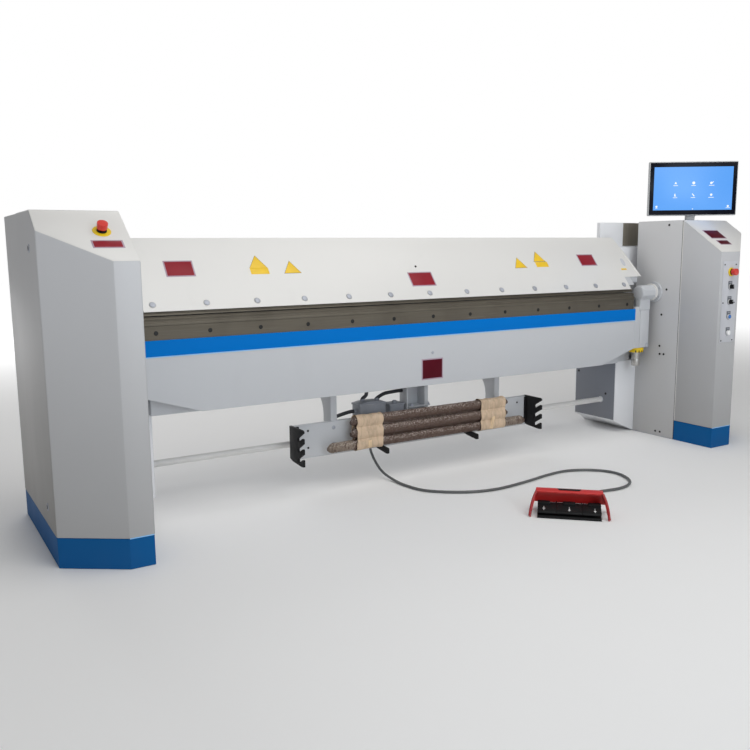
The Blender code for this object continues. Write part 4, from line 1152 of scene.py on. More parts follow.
@dataclass(frozen=True)
class Cabinet(EndAssembly):
    """Sheet metal on one floor cabinet: walls, lids, plain plates, screws, locks and rear cover."""

    outer: float = -2.018
    face: float = 0.099
    plates: tuple[Point, ...] = ((-1.7745, -0.379, 0.119, 0.052),)
    plate_finish: Finish = SIGN_RED
    height: float = 1.391
    front_height: float = 1.195
    plinth: float = 0.125
    front_y: float = -0.470
    corner_y: float = -0.306
    slope_y: float = -0.189
    wall_end_y: float = 0.160
    rear_y: float = 0.492
    sheet: float = 0.0014
    gap: float = 0.0012
    wall_screws: tuple[Point, ...] = (
        (-0.0866, 0.960), (-0.0559, 0.7979), (-0.0514, 0.5952), (-0.0559, 0.5427), (-0.0866, 0.5440),
        (-0.0480, 0.0312), (-0.0850, 0.0315), (-0.0851, 1.3648),
    )
    lock_spots: tuple[Point, ...] = ((-0.149, 1.2466), (-0.151, 0.2107))
    lock_rim: tuple[Point, ...] = (
        (0.0, 0.0), (0.017, 0.0), (0.017, 0.0015), (0.0145, 0.0035), (0.0115, 0.0035), (0.0115, 0.0012),
        (0.0, 0.0012),
    )

    def slope_z(self, y: float) -> float:
        """Return the height of the sloped top at a depth."""
        share = (y - self.front_y) / (self.slope_y - self.front_y)
        return self.front_height + (self.height - self.front_height) * share

    def build(self) -> None:
        """Dress the cabinet and add its sheets and fittings."""
        self.shop.dress(FRONT, 0.003, f"{self.side.label}_cabinet")
        self.shop.dress(BLUE, 0.003, f"{self.side.label}_plinth")
        self.walls()
        self.trims()
        self.lids()
        self.fittings()
        self.rear()

    def hang(self, name: str, finish: Finish, x: float, push: float, outline: Sequence[Point]) -> None:
        """Hang a flat sheet on a side of the cabinet.

        Args:
            name: Name of the sheet.
            finish: Its surface.
            x: The side that it lies on.
            push: Its thickness, with the sign of the way it stands out.
            outline: Depth and height of each corner.
        """
        self.make(name, Stock().slab([(x, y, z) for y, z in outline], (push, 0.0, 0.0), 0.0006), finish)

    def walls(self) -> None:
        """Hang the inner wall's two sheets, which meet at a seam, and the outer side sheet."""
        inward = -self.side.outward * self.sheet
        base, top = self.plinth + 0.002, self.height - 0.003
        start, stop = (self.slope_y + self.gap, self.wall_end_y)
        outline = [(start, 0.002), (stop, 0.002), (stop, self.height - 0.002), (start, self.height - 0.002)]
        self.hang("wall_sheet", WALL, self.side.wall, inward, outline)
        start, stop = (self.front_y + 0.002, self.slope_y - self.gap)
        outline = [(start, base), (stop, base), (stop, top), (start, self.front_height - 0.003)]
        self.hang("shroud_sheet", FRONT, self.side.wall, inward, outline)
        start, stop = (self.corner_y + 0.003, self.rear_y - 0.003)
        outline = [(start, base), (stop, base), (stop, top), (self.slope_y, top)]
        outline.append((start, self.slope_z(start) - 0.003))
        self.hang("side_door", DOOR, self.outer, -inward, outline)

    def trims(self) -> None:
        """Fold the seam's flange in pale paint as a painted highlight on the seam, darken its joint and lay a
        pale strip of painted highlight along the plinth's top edge.
        """
        wall, outward = self.side.wall, self.side.outward
        inward = -outward * self.sheet
        # The flange's pale paint is a painted highlight along the seam.
        low = (wall, self.slope_y - 0.0058, self.plinth + 0.002)
        flange = Stock().box(low, (wall + inward * 1.6, self.slope_y - 0.0014, self.height - 0.004), 0.0004)
        self.make("seam_flange", flange, WHITE)
        low = (wall, self.slope_y - 0.0013, 0.003)
        joint = Stock().box(low, (wall + inward * 1.15, self.slope_y + 0.0022, self.height - 0.004))
        self.make("seam_joint", joint, OXIDE)
        # Painted highlight along the plinth's top edge.
        low = (wall + outward * 0.002, self.front_y - 0.0012, self.plinth - 0.0015)
        high = (wall + outward * (self.face - 0.002), self.front_y + 0.001, self.plinth + 0.0025)
        self.make("plinth_lip", Stock().box(low, high, 0.0005), HIGHLIGHT_PAINT)

    def lids(self) -> None:
        """Lay the pale lids on the sloped and the level top, their paint paler than the cabinet's as painted
        light on the tops, and the plain plates on the slope.
        """
        rise = Vector((0.0, self.front_height - self.height, self.slope_y - self.front_y)).normalized()
        corner = self.side.wall + self.side.outward * self.face
        inset = 0.002
        front, back = self.front_y + inset, self.slope_y - inset
        outline = [(self.side.wall, front), (corner, front), (self.outer, self.corner_y + inset)]
        outline += [(self.outer, back), (self.side.wall, back)]
        # The lids' pale paint is painted light: the tops face the light from above.
        lid = Stock().slab([(x, y, self.slope_z(y)) for x, y in outline], rise * self.sheet, 0.0006)
        self.make("slope_lid", lid, WHITE)
        low_x, high_x = sorted((self.side.wall, self.outer))
        low = (low_x + inset, self.slope_y + inset, self.height)
        high = (high_x - inset, self.wall_end_y - inset, self.height + self.sheet)
        self.make("top_lid", Stock().box(low, high, 0.0006), WHITE)
        for number, (x, y, width, depth) in enumerate(self.plates, 1):
            frame = facing((x, y, self.slope_z(y)), rise, BACKWARD)
            frame = frame @ Matrix.Translation((0.0, 0.0, self.sheet))
            self.sign(f"slope_plate_{number}", frame, width, depth, self.plate_finish)

    def fittings(self) -> None:
        """Set the wall screws and the two quarter-turn locks."""
        inward = -self.side.outward
        places = [(self.side.wall + inward * self.sheet, y, z) for y, z in self.wall_screws]
        self.make("wall_screws", Stock().screws(places, (inward, 0.0, 0.0), 0.0075, 0.0028), OXIDE)
        rims = Stock()
        keys = Stock()
        for y, z in self.lock_spots:
            frame = facing((self.outer - inward * self.sheet, y, z), (-inward, 0.0, 0.0))
            rims.lathe(self.lock_rim, frame)
            keys.drum((0.0, 0.0, 0.0008), (0.0, 0.0, 0.0030), 0.0085, 0.0005, 0.0078, 16, frame)
            keys.box((-0.0022, -0.009, 0.0028), (0.0022, 0.009, 0.0042), 0.0005, frame)
        self.make("lock_rims", rims, BOLT)
        self.make("lock_keys", keys, BLACK)

    def rear(self) -> None:
        """Close the cabinet's back with a cover, its screws and a bank of louvres."""
        low_x, high_x = sorted((self.side.wall + self.side.outward * 0.180, self.outer))
        face_y = self.rear_y + 0.0015
        low = (low_x + 0.012, self.rear_y, self.plinth + 0.020)
        self.make("rear_cover", Stock().box(low, (high_x - 0.012, face_y, self.height - 0.020), 0.0007), WALL)
        half = (high_x - low_x) / 2.0 - 0.045
        left = (low_x + high_x) / 2.0 - half
        louvres = Stock()
        for index in range(9):
            z = 1.10 + index * 0.022
            outline = [(left, face_y, z), (left, face_y, z + 0.012), (left, face_y + 0.005, z)]
            louvres.slab(outline, (2.0 * half, 0.0, 0.0), 0.0008)
        self.make("rear_louvres", louvres, WALL)
        heights = (self.plinth + 0.035, 0.54, 0.95, self.height - 0.035)
        places = [(x, face_y, z) for x in (low_x + 0.024, high_x - 0.024) for z in heights]
        self.make("rear_screws", Stock().screws(places, BACKWARD, 0.006, 0.0025), OXIDE)


@dataclass(frozen=True)
class Column(EndAssembly):
    """One column behind its cabinet's wall, with its leg, guide face and fixings."""

    leg: float = -1.500
    head_reach: float = 0.090
    head_depth: float = 0.140
    reach: float = 0.075
    head_y: float = 0.310
    guide_low: float = 1.238
    guide_high: float = 1.389
    guide_width: float = 0.1785
    rear_width: float = 0.1797
    rear_front_y: float = 0.240
    rear_depth: float = 0.350
    upright_top: float = 1.230
    head_low: float = 1.000
    top: float = 1.391
    leg_front_y: float = 0.140
    leg_depth: float = 0.360
    leg_cut: float = 0.084
    leg_top: float = 0.484
    screw_spots: tuple[Point, ...] = ((0.220, 0.259), (0.470, 0.385))
    tube_spot: Point = (0.262, 0.215)
    pivot: Point = (0.010, 0.941)

    def build(self) -> None:
        """Dress the pivot's flange and stand the column up."""
        self.shop.dress(GREY, 0.0015, f"{self.side.label}_pivot_flange")
        self.upright()
        self.guide()
        self.foot()
        face = self.side.wall - self.side.outward * 0.0143
        y, z = self.pivot
        turns = [math.tau * (step + 0.5) / 6.0 for step in range(6)]
        places = [(face, y + 0.057 * math.cos(turn), z + 0.057 * math.sin(turn)) for turn in turns]
        screws = Stock().screws(places, (-self.side.outward, 0.0, 0.0), 0.0045, 0.003)
        self.make("flange_screws", screws, BOLT)

    def upright(self) -> None:
        """Add the upright, with the plate at its head that carries the guide."""
        wall, outward = self.side.wall, self.side.outward
        inner, step = wall - outward * self.reach, wall + outward * self.rear_width
        top = self.upright_top
        outline = [(inner, 0.070), (wall, 0.0), (step, 0.0), (step, top), (inner, top)]
        corners = [(x, self.rear_front_y, z) for x, z in outline]
        column = Stock().slab(corners, (0.0, self.rear_depth, 0.0), 0.004)
        low_x, high_x = sorted((wall - outward * self.head_reach, wall + outward * 0.150))
        low = (low_x, self.head_y, self.head_low)
        column.box(low, (high_x, self.head_y + self.head_depth, self.top), 0.003)
        self.make("upright", column, COLUMN_PAINT_LIT, f"{self.side.label}_column")

    def guide(self) -> None:
        """Add the ground guide face and its raised strip."""
        wall, outward = self.side.wall, self.side.outward
        low_x, high_x = sorted((wall + outward * 0.0225, wall + outward * self.guide_width))
        low = (low_x, self.head_y - 0.0018, self.guide_low)
        guide = Stock().box(low, (high_x, self.head_y, self.guide_high), 0.0006)
        low = (low_x + 0.004, self.head_y - 0.0036, self.guide_low)
        guide.box(low, (low_x + 0.050, self.head_y - 0.001, self.guide_high), 0.0008)
        self.make("guide_face", guide, UPRIGHT_STEEL)

    def foot(self) -> None:
        """Add the leg, a dark sheet of painted shade on its inner side, two screws, and the collar of the
        cross tube.
        """
        wall, outward, inner, front = self.side.wall, self.side.outward, self.leg, self.leg_front_y
        outline = [(inner, self.leg_cut), (wall, 0.002), (wall, self.leg_top), (inner, self.leg_top)]
        leg = Stock().slab([(x, front, z) for x, z in outline], (0.0, self.leg_depth, 0.0), 0.0025)
        self.make("leg", leg, COLUMN_PAINT_LIT)
        # Painted shade: a thin dark sheet over the leg's inner side.
        low_x, high_x = sorted((inner, inner - outward * 0.0012))
        low = (low_x, front + 0.006, self.leg_cut + 0.006)
        sheet = Stock().box(low, (high_x, front + self.leg_depth - 0.006, self.leg_top - 0.002), 0.0005)
        self.make("leg_sheet", sheet, PAINTED_SHADE_SHEET)
        places = [(inner, y, z) for y, z in self.screw_spots]
        self.make("column_screws", Stock().screws(places, (-outward, 0.0, 0.0), 0.0085, 0.004), OXIDE)
        start = (inner - outward * 0.006, *self.tube_spot)
        self.make("tube_collar", Stock().drum(start, (inner, *self.tube_spot), 0.021, 0.0015), GREY)


@dataclass(frozen=True)
class FoldingUnit(Assembly):
    """What swings about the fold line: rail, band, beam, arms and the adjusting spindle."""

    body: Body = Body.FOLDING
    half: float = 1.578
    rail_screw_z: float = 0.872
    band_bottom: float = 0.7683
    pivot: Point = (0.010, 0.941)
    spindle: Point = (1.650, 0.045)
    rib_outline: tuple[Point, ...] = ((0.0602, 0.532), (0.0602, 0.820), (0.0715, 0.800), (0.0715, 0.552))

    def build(self) -> None:
        """Dress the unit and add its small parts."""
        self.shop.dress(GREY, 0.003, "folding_beam", "left_arm", "right_arm")
        self.shop.dress(BAND_PAINT_LIT, 0.0006, "folding_beam_band")
        self.shop.dress(BRONZE, 0.0012, "folding_rail")
        self.shop.dress(YELLOW, 0.003, "spindle_collar")
        self.shop.dress(STEEL, 0.002, "spindle_rod")
        self.beam_front()
        ribs = Stock()
        for x in row(9, 0.300):
            ribs.slab([(x - 0.004, y, z) for y, z in self.rib_outline], (0.008, 0.0, 0.0), 0.0008)
        self.make("beam_ribs", ribs, GREY)
        self.hubs()
        self.spindle_parts()

    def beam_front(self) -> None:
        """Add the rail's black screws, a pale blue strip of painted highlight under the band, the arm plates
        and the plain plate.
        """
        places = [(x, 0.0, self.rail_screw_z) for x in SCREW_ROW]
        self.make("rail_screws", Stock().screws(places, FORWARD, 0.0105, 0.0016, 0.58), OXIDE)
        # Painted highlight along the band's lower edge.
        low = (-self.half, -0.0024, self.band_bottom - 0.0040)
        self.make("band_lip", Stock().box(low, (self.half, 0.0006, self.band_bottom - 0.0002), 0.0006), HIGHLIGHT_PAINT)
        for side, start in (("left", -1.6645), ("right", 1.622)):
            plate = Stock().box((start, -0.0045, 0.590), (start + 0.082, 0.0, 0.8485), 0.0012)
            self.make(f"{side}_arm_plate", plate, GREY)
        self.make("beam_screw", Stock().screws([(-0.004, 0.0, 0.6767)], FORWARD, 0.0085, 0.004), BOLT)
        self.sign("beam_plate", facing((-0.006, 0.0, 0.588), FORWARD), 0.141, 0.114, SIGN_MAROON)

    def hubs(self) -> None:
        """Fit a stepped cap and a lock ring on each hub."""
        for side, start in ((Side.LEFT, -1.6560), (Side.RIGHT, 1.7215)):
            inner = side.outward * 1.612
            end = (inner - side.outward * 0.005, *self.pivot)
            cap = Stock().drum((inner, *self.pivot), end, 0.0455, 0.0012, 0.043, 8)
            self.make(f"{side.label}_hub_cap", cap, GREY)
            end = (start + side.outward * 0.010, *self.pivot)
            ring = Stock().drum((start, *self.pivot), end, 0.0555, 0.0015, sides=48)
            self.make(f"{side.label}_hub_ring", ring, WHITE)

    def spindle_parts(self) -> None:
        """Add the collar's ridges and scale, the rod's grooved sleeve and the arm's grease cup."""
        upright = Matrix.Translation((*self.spindle, 0.0))
        ridges = Stock()
        for step in range(24):
            turn = upright @ Matrix.Rotation(math.tau * step / 24.0, 4, "Z")
            ridges.box((0.0436, -0.0022, 0.5575), (0.0462, 0.0022, 0.5825), 0.0006, turn)
        self.make("collar_ridges", ridges, YELLOW)
        marks = Stock()
        for step in range(5):
            turn = upright @ Matrix.Rotation(math.radians(-140.0 + step * 26.0), 4, "Z")
            marks.box((0.0450, -0.0035, 0.5545), (0.0468, 0.0035, 0.5680), 0.0005, turn)
        self.make("collar_scale", marks, OXIDE)
        profile = [
            (0.0, 0.553), (0.031, 0.553), (0.031, 0.541), (0.0272, 0.539), (0.0272, 0.512), (0.0266, 0.510),
            (0.0272, 0.508), (0.0272, 0.478), (0.0240, 0.4665), (0.0, 0.4665),
        ]
        self.make("spindle_sleeve", Stock().lathe(profile, upright), STEEL)
        profile = [(0.0, 0.0), (0.016, 0.0), (0.016, 0.006), (0.010, 0.006), (0.010, 0.003), (0.0, 0.003)]
        self.make("arm_grease_cup", Stock().lathe(profile, facing((1.690, 0.0, 0.600), FORWARD)), BOLT)


@dataclass(frozen=True)
class ClampingUnit(Assembly):
    """What rises with the clamping beam: cover, core, upper tool, bolts and plates."""

    body: Body = Body.CLAMPING
    foot_y: float = 0.012
    foot_z: float = 0.967
    slope: float = 0.78
    bolt_z: float = 0.995
    back_y: float = 0.3098
    plates: tuple[tuple[str, float, float, float, float], ...] = (
        ("left", -1.332, 1.150, 0.140, 0.092),
        ("right", 1.292, 1.151, 0.138, 0.090),
        ("middle", -0.012, 1.069, 0.157, 0.094),
    )
    triangle_spots: tuple[Point, ...] = ((-0.938, 1.1465), (-0.763, 1.1180), (0.727, 1.1145), (0.894, 1.1485))
    field_spots: tuple[Point, ...] = ((-0.937, 1.1165), (0.901, 1.1160))
    skin_corners: tuple[Point, ...] = ((1.643, 1.207), (1.660, 1.207), (1.699, 1.0425), (1.681, 1.0425))
    strip_corners: tuple[Point, ...] = (
        (0.0215, 0.9560), (0.0185, 0.9585), (0.0290, 0.9770), (0.0330, 0.9760),
    )

    def cover_y(self, z: float) -> float:
        """Return the depth of the cover's outer face at a height."""
        return self.foot_y + self.slope * (z - self.foot_z)

    def on_cover(self, x: float, z: float) -> Matrix:
        """Return a frame on the cover's outer face, with Y up the slope.

        Args:
            x: Where along the cover.
            z: Height above the floor.

        Returns:
            The frame.
        """
        out = Vector((0.0, -1.0, self.slope)).normalized()
        return facing((x, self.cover_y(z), z), out, (0.0, self.slope, 1.0))

    def build(self) -> None:
        """Dress the unit and add its bolts, plates and stiffeners."""
        self.shop.dress(WHITE, 0.0012, "clamping_cover")
        self.shop.dress(GREY, 0.004, "clamping_beam")
        self.shop.dress(BRONZE, 0.0012, "upper_tool")
        bolts = Stock()
        washers = Stock()
        for x in SCREW_ROW:
            frame = self.on_cover(x, self.bolt_z)
            washers.drum((0.0, 0.0, 0.0), (0.0, 0.0, 0.0012), 0.0165, 0.0003, frame=frame)
            bolts.hex_screw(frame @ Matrix.Translation((0.0, 0.0, 0.0012)), 0.0150, 0.0050, 0.42)
        self.make("cover_bolts", bolts, BOLT)
        self.make("cover_washers", washers, STEEL)
        for name, x, z, width, height in self.plates:
            self.sign(f"cover_plate_{name}", self.on_cover(x, z), width, height)
        self.triangles()
        self.right_end()
        strip = Stock().slab([(-1.560, y, z) for y, z in self.strip_corners], (3.120, 0.0, 0.0), 0.0005)
        self.make("tool_strip", strip, BRONZE)
        ribs = Stock()
        for x in row(7, 0.480):
            ribs.box((x - 0.006, self.back_y, 1.010), (x + 0.006, 0.3160, 1.262), 0.0012)
        self.make("clamping_ribs", ribs, GREY)
        places = [(x, self.back_y, 1.035) for x in row(14, 0.225)]
        self.make("clamping_rear_bolts", Stock().screws(places, BACKWARD, 0.011, 0.006), BOLT)

    def triangles(self) -> None:
        """Stick the plain yellow triangles with their dark edges, and the fields under two of them."""
        edges = Stock()
        signs = Stock()
        for x, z in self.triangle_spots:
            frame = self.on_cover(x, z)
            corners = [(-0.0475, -0.0015, 0.0), (0.0475, -0.0015, 0.0), (0.0, 0.0755, 0.0)]
            edges.slab(corners, (0.0, 0.0, 0.0005), 0.0001, frame)
            corners = [(-0.045, 0.0, 0.0), (0.045, 0.0, 0.0), (0.0, 0.073, 0.0)]
            signs.slab(corners, (0.0, 0.0, 0.0009), 0.0002, frame)
        for x, z in self.field_spots:
            signs.box((-0.048, 0.0, 0.0), (0.048, 0.038, 0.0007), 0.0002, self.on_cover(x, z))
        signs.box((-0.024, -0.006, 0.0), (0.024, 0.006, 0.0007), 0.0002, self.on_cover(1.5777, 1.0893))
        self.make("triangle_edges", edges, BLACK)
        self.make("cover_triangles", signs, SIGN_YELLOW)

    def right_end(self) -> None:
        """Add the higher skin at the right end, the shoulder, the oval plug and the middle screw."""
        outline = [(x, self.cover_y(z), z) for x, z in self.skin_corners]
        push = Vector((0.0, -1.0, self.slope)).normalized() * 0.0022
        self.make("cover_end_skin", Stock().slab(outline, push, 0.0007), WHITE)
        shoulder = Stock().box((1.556, 0.0760, 1.0030), (1.672, 0.1500, 1.0410), 0.0015)
        self.make("cover_shoulder", shoulder, GREY)
        oval = self.on_cover(1.6035, 1.1335) @ Matrix.Diagonal((0.72, 1.35, 1.0, 1.0))
        profile = [(0.0, 0.0), (0.022, 0.0), (0.022, 0.0012), (0.018, 0.0026), (0.0, 0.0030)]
        self.make("cover_plug", Stock().lathe(profile, oval), PLATE)
        screw = Stock().hex_screw(self.on_cover(-0.018, 1.1357), 0.0065, 0.003)
        self.make("cover_middle_screw", screw, OXIDE)


@dataclass(frozen=True)
class LowerBeam(Assembly):
    """The fixed beam, the table rail and the cross tube, with their fixings."""

    rear_y: float = 0.300
    bottom: float = 0.486
    top: float = 0.860
    table_z: float = 0.943
    end_x: float = 1.5625

    def build(self) -> None:
        """Dress the beam and add its fixings."""
        self.shop.dress(WHITE, 0.0015, "cross_tube")
        self.shop.dress(GREY, 0.004, "lower_beam")
        self.shop.dress(BRONZE, 0.0015, "lower_tool_rail")
        places = [(x, 0.240, self.table_z) for x in SCREW_ROW]
        self.make("table_screws", Stock().screws(places, UPWARD, 0.010, 0.0016, 0.55), OXIDE)
        heights = (0.540, 0.640, 0.740, 0.820)
        places = [(x, 0.130, z) for x in (-self.end_x, self.end_x) for z in heights]
        self.make("end_bolts", Stock().screws(places, FORWARD, 0.012, 0.008), BOLT)
        ribs = Stock()
        for x in row(7, 0.480):
            low = (x - 0.006, self.rear_y, self.bottom + 0.030)
            ribs.box(low, (x + 0.006, self.rear_y + 0.010, self.top - 0.030), 0.0012)
        ribs.box((-1.50, self.rear_y, self.bottom), (1.50, self.rear_y + 0.012, self.bottom + 0.012), 0.002)
        self.make("lower_beam_ribs", ribs, GREY)


@dataclass(frozen=True)
class Rack(Assembly):
    """The hanging rack: brackets, panel, supports, three bars in paper, boxes and machine cables."""

    bracket_x: float = 0.550
    front_y: float = 0.120
    back_y: float = 0.1243
    top: float = 0.340
    bottom: float = 0.167
    half: float = 0.780
    head: float = 0.4858
    support: float = 0.0130
    bar_y: float = 0.055
    bar_z: tuple[float, ...] = (0.217, 0.280, 0.343)
    bar_half: tuple[float, ...] = (0.663, 0.528, 0.528)
    bar_radius: float = 0.024
    centre_x: float = 0.040
    swell: tuple[float, ...] = (0.0022, 0.0045, 0.0022)
    screw_spots: tuple[Point, ...] = ((-0.705, 0.3087), (-0.705, 0.2188), (0.705, 0.3083), (0.705, 0.2188))
    rivet_spots: tuple[Point, ...] = (
        (-0.5546, 0.3086), (-0.5546, 0.2200), (0.5546, 0.3086), (0.5546, 0.2200),
    )
    rivet: tuple[Point, ...] = (
        (0.0, 0.0), (0.0105, 0.0), (0.0105, 0.002), (0.0060, 0.0028), (0.0055, 0.0008), (0.0, 0.0008),
    )
    web: tuple[Point, ...] = (
        (0.1243, 0.280), (0.1243, 0.4858), (0.2743, 0.4858), (0.2743, 0.478), (0.2600, 0.468),
        (0.2400, 0.448), (0.2240, 0.424), (0.2135, 0.397), (0.2093, 0.368), (0.2093, 0.280),
    )
    shelf: tuple[Point, ...] = (
        (0.1195, 0.176), (0.1195, 0.352), (0.0880, 0.352), (0.0820, 0.340), (0.0820, 0.196),
        (-0.0100, 0.189), (-0.0153, 0.184), (-0.0153, 0.160), (-0.0020, 0.158), (0.0800, 0.168),
    )
    dome: tuple[Point, ...] = (
        (-0.386, 0.4085), (-0.380, 0.4130), (-0.355, 0.4180), (-0.3075, 0.4200), (-0.260, 0.4180),
        (-0.235, 0.4130), (-0.229, 0.4085),
    )
    leads: tuple[tuple[str, tuple[str, ...], tuple[Point, ...]], ...] = (
        (
            "beam_lead", ("beam_cable",),
            (
                (-0.345, 0.175, 0.4230), (-0.345, 0.175, 0.432), (-0.322, 0.175, 0.450),
                (-0.318, 0.175, 0.4870),
            ),
        ),
        (
            "arch_lead", ("arch_cable",),
            (
                (-0.255, 0.175, 0.4200), (-0.252, 0.175, 0.426), (-0.205, 0.175, 0.446),
                (-0.130, 0.175, 0.452), (-0.0890, 0.175, 0.452),
            ),
        ),
        (
            "side_lead", (),
            ((-0.398, 0.170, 0.370), (-0.430, 0.172, 0.368), (-0.490, 0.176, 0.356), (-0.533, 0.180, 0.344)),
        ),
    )

    def build(self) -> None:
        """Dress the rack and build its soft and small parts."""
        self.shop.dress(GREY, 0.0015, "rack_panel")
        self.shop.dress(BOX, 0.010, "junction_box", "connector_box")
        self.shop.dress(BLACK, 0.0015, "box_gland")
        self.panel()
        self.hangers()
        self.supports()
        self.boxes()
        self.bars()
        self.wraps()
        for name, node, route in self.leads:
            stock = Stock()
            tube(stock, smooth_route(route, 0.006), 0.0100, 16)
            self.make(name, stock, LEAD, *node)

    def panel(self) -> None:
        """Add the panel's screws, rivets and folded lips."""
        places = [(x, self.front_y, z) for x, z in self.screw_spots]
        self.make("rack_screws", Stock().screws(places, FORWARD, 0.0060, 0.0030), OXIDE)
        rivets = Stock()
        for x, z in self.rivet_spots:
            rivets.lathe(self.rivet, facing((x, self.front_y, z), FORWARD), 24)
        self.make("rack_rivets", rivets, BOLT)
        lips = Stock()
        for low, high in ((self.top, self.top + 0.002), (self.bottom - 0.002, self.bottom)):
            lips.box((-self.half, self.front_y, low), (self.half, self.front_y + 0.026, high), 0.0007)
        self.make("rack_panel_lips", lips, GREY)

    def hangers(self) -> None:
        """Hang the panel on two gusseted brackets and a middle channel."""
        for side, x in (("left", -self.bracket_x), ("right", self.bracket_x)):
            web = Stock().slab([(x - 0.0165, y, z) for y, z in self.web], (0.033, 0.0, 0.0), 0.0012)
            self.make(f"{side}_hanger", web, GREY, f"{side}_bracket")
            low = (x - 0.0180, self.back_y - 0.0002, 0.343)
            flange = Stock().box(low, (x + 0.0180, self.back_y + 0.0030, self.head), 0.0008)
            self.make(f"{side}_hanger_flange", flange, GREY)
        channel = Stock().box((-0.0900, self.back_y, 0.280), (-0.0820, 0.1993, self.head), 0.0012)
        channel.box((-0.0850, 0.1943, 0.280), (0.0480, 0.1993, self.head), 0.0012)
        channel.box((0.0290, self.back_y, 0.280), (0.0520, 0.1985, self.head), 0.0012)
        self.make("middle_hanger", channel, GREY, "centre_bracket")
        foot = Stock().box((-0.0780, self.front_y, 0.3600), (0.0640, 0.1900, 0.3665), 0.0010)
        self.make("middle_hanger_foot", foot, GREY)
        nuts = Stock()
        for x in (-0.050, 0.058):
            frame = facing((x, 0.136, 0.3665), UPWARD)
            nuts.drum((0.0, 0.0, 0.0), (0.0, 0.0, 0.0020), 0.0120, 0.0004, frame=frame)
            nuts.drum((0.0, 0.0, 0.0020), (0.0, 0.0, 0.0100), 0.0095, 0.0008, sides=6, frame=frame)
            nuts.drum((0.0, 0.0, 0.0100), (0.0, 0.0, 0.0150), 0.0050, 0.0006, frame=frame)
        self.make("hanger_nuts", nuts, BOLT)

    def supports(self) -> None:
        """Close the rack's ends with the hooked black supports."""
        front, rear, low, high = -0.0180, 0.1330, 0.1600, 0.3460
        outline = [(rear, low + 0.016), (rear, high), (front + 0.012, high), (front + 0.002, high - 0.004)]
        for mouth in (0.3200, 0.2660, 0.2120):
            throat = mouth - 0.0290
            inner = front + 0.0560
            outline += [
                (front, mouth + 0.0125), (inner - 0.004, throat + 0.0110), (inner + 0.003, throat + 0.0030),
                (inner + 0.001, throat - 0.0070), (inner - 0.008, throat - 0.0100),
                (front + 0.008, mouth - 0.0150), (front, mouth - 0.0190),
            ]
        outline += [(front, low), (front + 0.018, low - 0.002), (rear - 0.030, low + 0.006)]
        push = (self.support, 0.0, 0.0)
        for side, x in (("left", -0.804), ("right", 0.7705)):
            comb = Stock().slab([(x, y, z) for y, z in outline], push, 0.0012)
            self.make(f"{side}_comb", comb, BLACK, f"rack_support_far_{side}")
        for side, x in (("left", -0.3065), ("right", 0.2935)):
            rest = Stock().slab([(x, y, z) for y, z in self.shelf], push, 0.0012)
            self.make(f"{side}_shelf", rest, BLACK, f"rack_support_{side}")
        tabs = Stock()
        tabs.box((-0.8000, 0.1100, 0.1800), (-0.7600, 0.1195, 0.3380), 0.0012)
        tabs.box((-0.8000, 0.1240, 0.1800), (-0.7700, 0.1290, 0.3380), 0.0012)
        tabs.box((0.7600, 0.1130, 0.1800), (0.7800, 0.1198, 0.3380), 0.0012)
        self.make("comb_tabs", tabs, BLACK)

    def boxes(self) -> None:
        """Put lids, screws and glands on the two boxes."""
        lids = Stock()
        lids.box((-0.3930, 0.1225, 0.3985), (-0.2220, 0.2160, 0.4105), 0.004)
        lids.slab([(x, 0.128, z) for x, z in self.dome], (0.0, 0.082, 0.0), 0.003)
        lids.box((-0.2020, 0.1225, 0.3800), (-0.1030, 0.2060, 0.3925), 0.004)
        self.make("box_lids", lids, BOX)
        glands = Stock()
        for place, out in (
            ((-0.345, 0.175, 0.4175), UPWARD),
            ((-0.255, 0.175, 0.4150), UPWARD),
            ((-0.1525, 0.155, 0.3925), UPWARD),
            ((-0.3900, 0.170, 0.3700), (-1.0, 0.0, 0.0)),
        ):
            frame = facing(place, out, BACKWARD)
            glands.drum((0.0, 0.0, 0.0), (0.0, 0.0, 0.008), 0.0150, 0.0008, sides=6, frame=frame)
            glands.drum((0.0, 0.0, 0.008), (0.0, 0.0, 0.014), 0.0125, 0.0012, 0.0105, 24, frame)
        self.make("box_glands", glands, BOX)
        places = [(x, y, 0.4105) for x in (-0.384, -0.231) for y in (0.131, 0.207)]
        self.make("box_screws", Stock().screws(places, UPWARD, 0.0035, 0.0015), BOLT)

    def bars(self) -> None:
        """Build each bar in its crinkled paper, with the ends twisted shut."""
        for index, (z, half, swell) in enumerate(zip(self.bar_z, self.bar_half, self.swell)):
            stock = Stock()
            span = (self.centre_x - half, self.centre_x + half)
            paper_tube(stock, span, (self.bar_y, z), self.bar_radius + swell, 7.0 * index)
            self.make(f"paper_bar_{index + 1}", stock, BAR_PAPER, f"wrapped_bar_{index + 1}")
        # A flat sheet of the bar paper behind the bars: painted shade filling the gaps between them, where
        # shadow lies.
        low = (self.centre_x - 0.500, self.bar_y + 0.001, 0.235)
        shade_backing = Stock().box(low, (self.centre_x + 0.500, self.bar_y + 0.006, 0.325), 0.002)
        self.make("paper_flap", shade_backing, BAR_PAPER)
        for side, near, far in (("left", -0.6265, -0.450), ("right", 0.520, 0.6985)):
            cover = Stock()
            centre = (self.bar_y, self.bar_z[0])
            paper_tube(cover, (near, far), centre, self.bar_radius + 0.0030, 3.0 * near)
            self.make(f"{side}_end_paper", cover, END_PAPER)

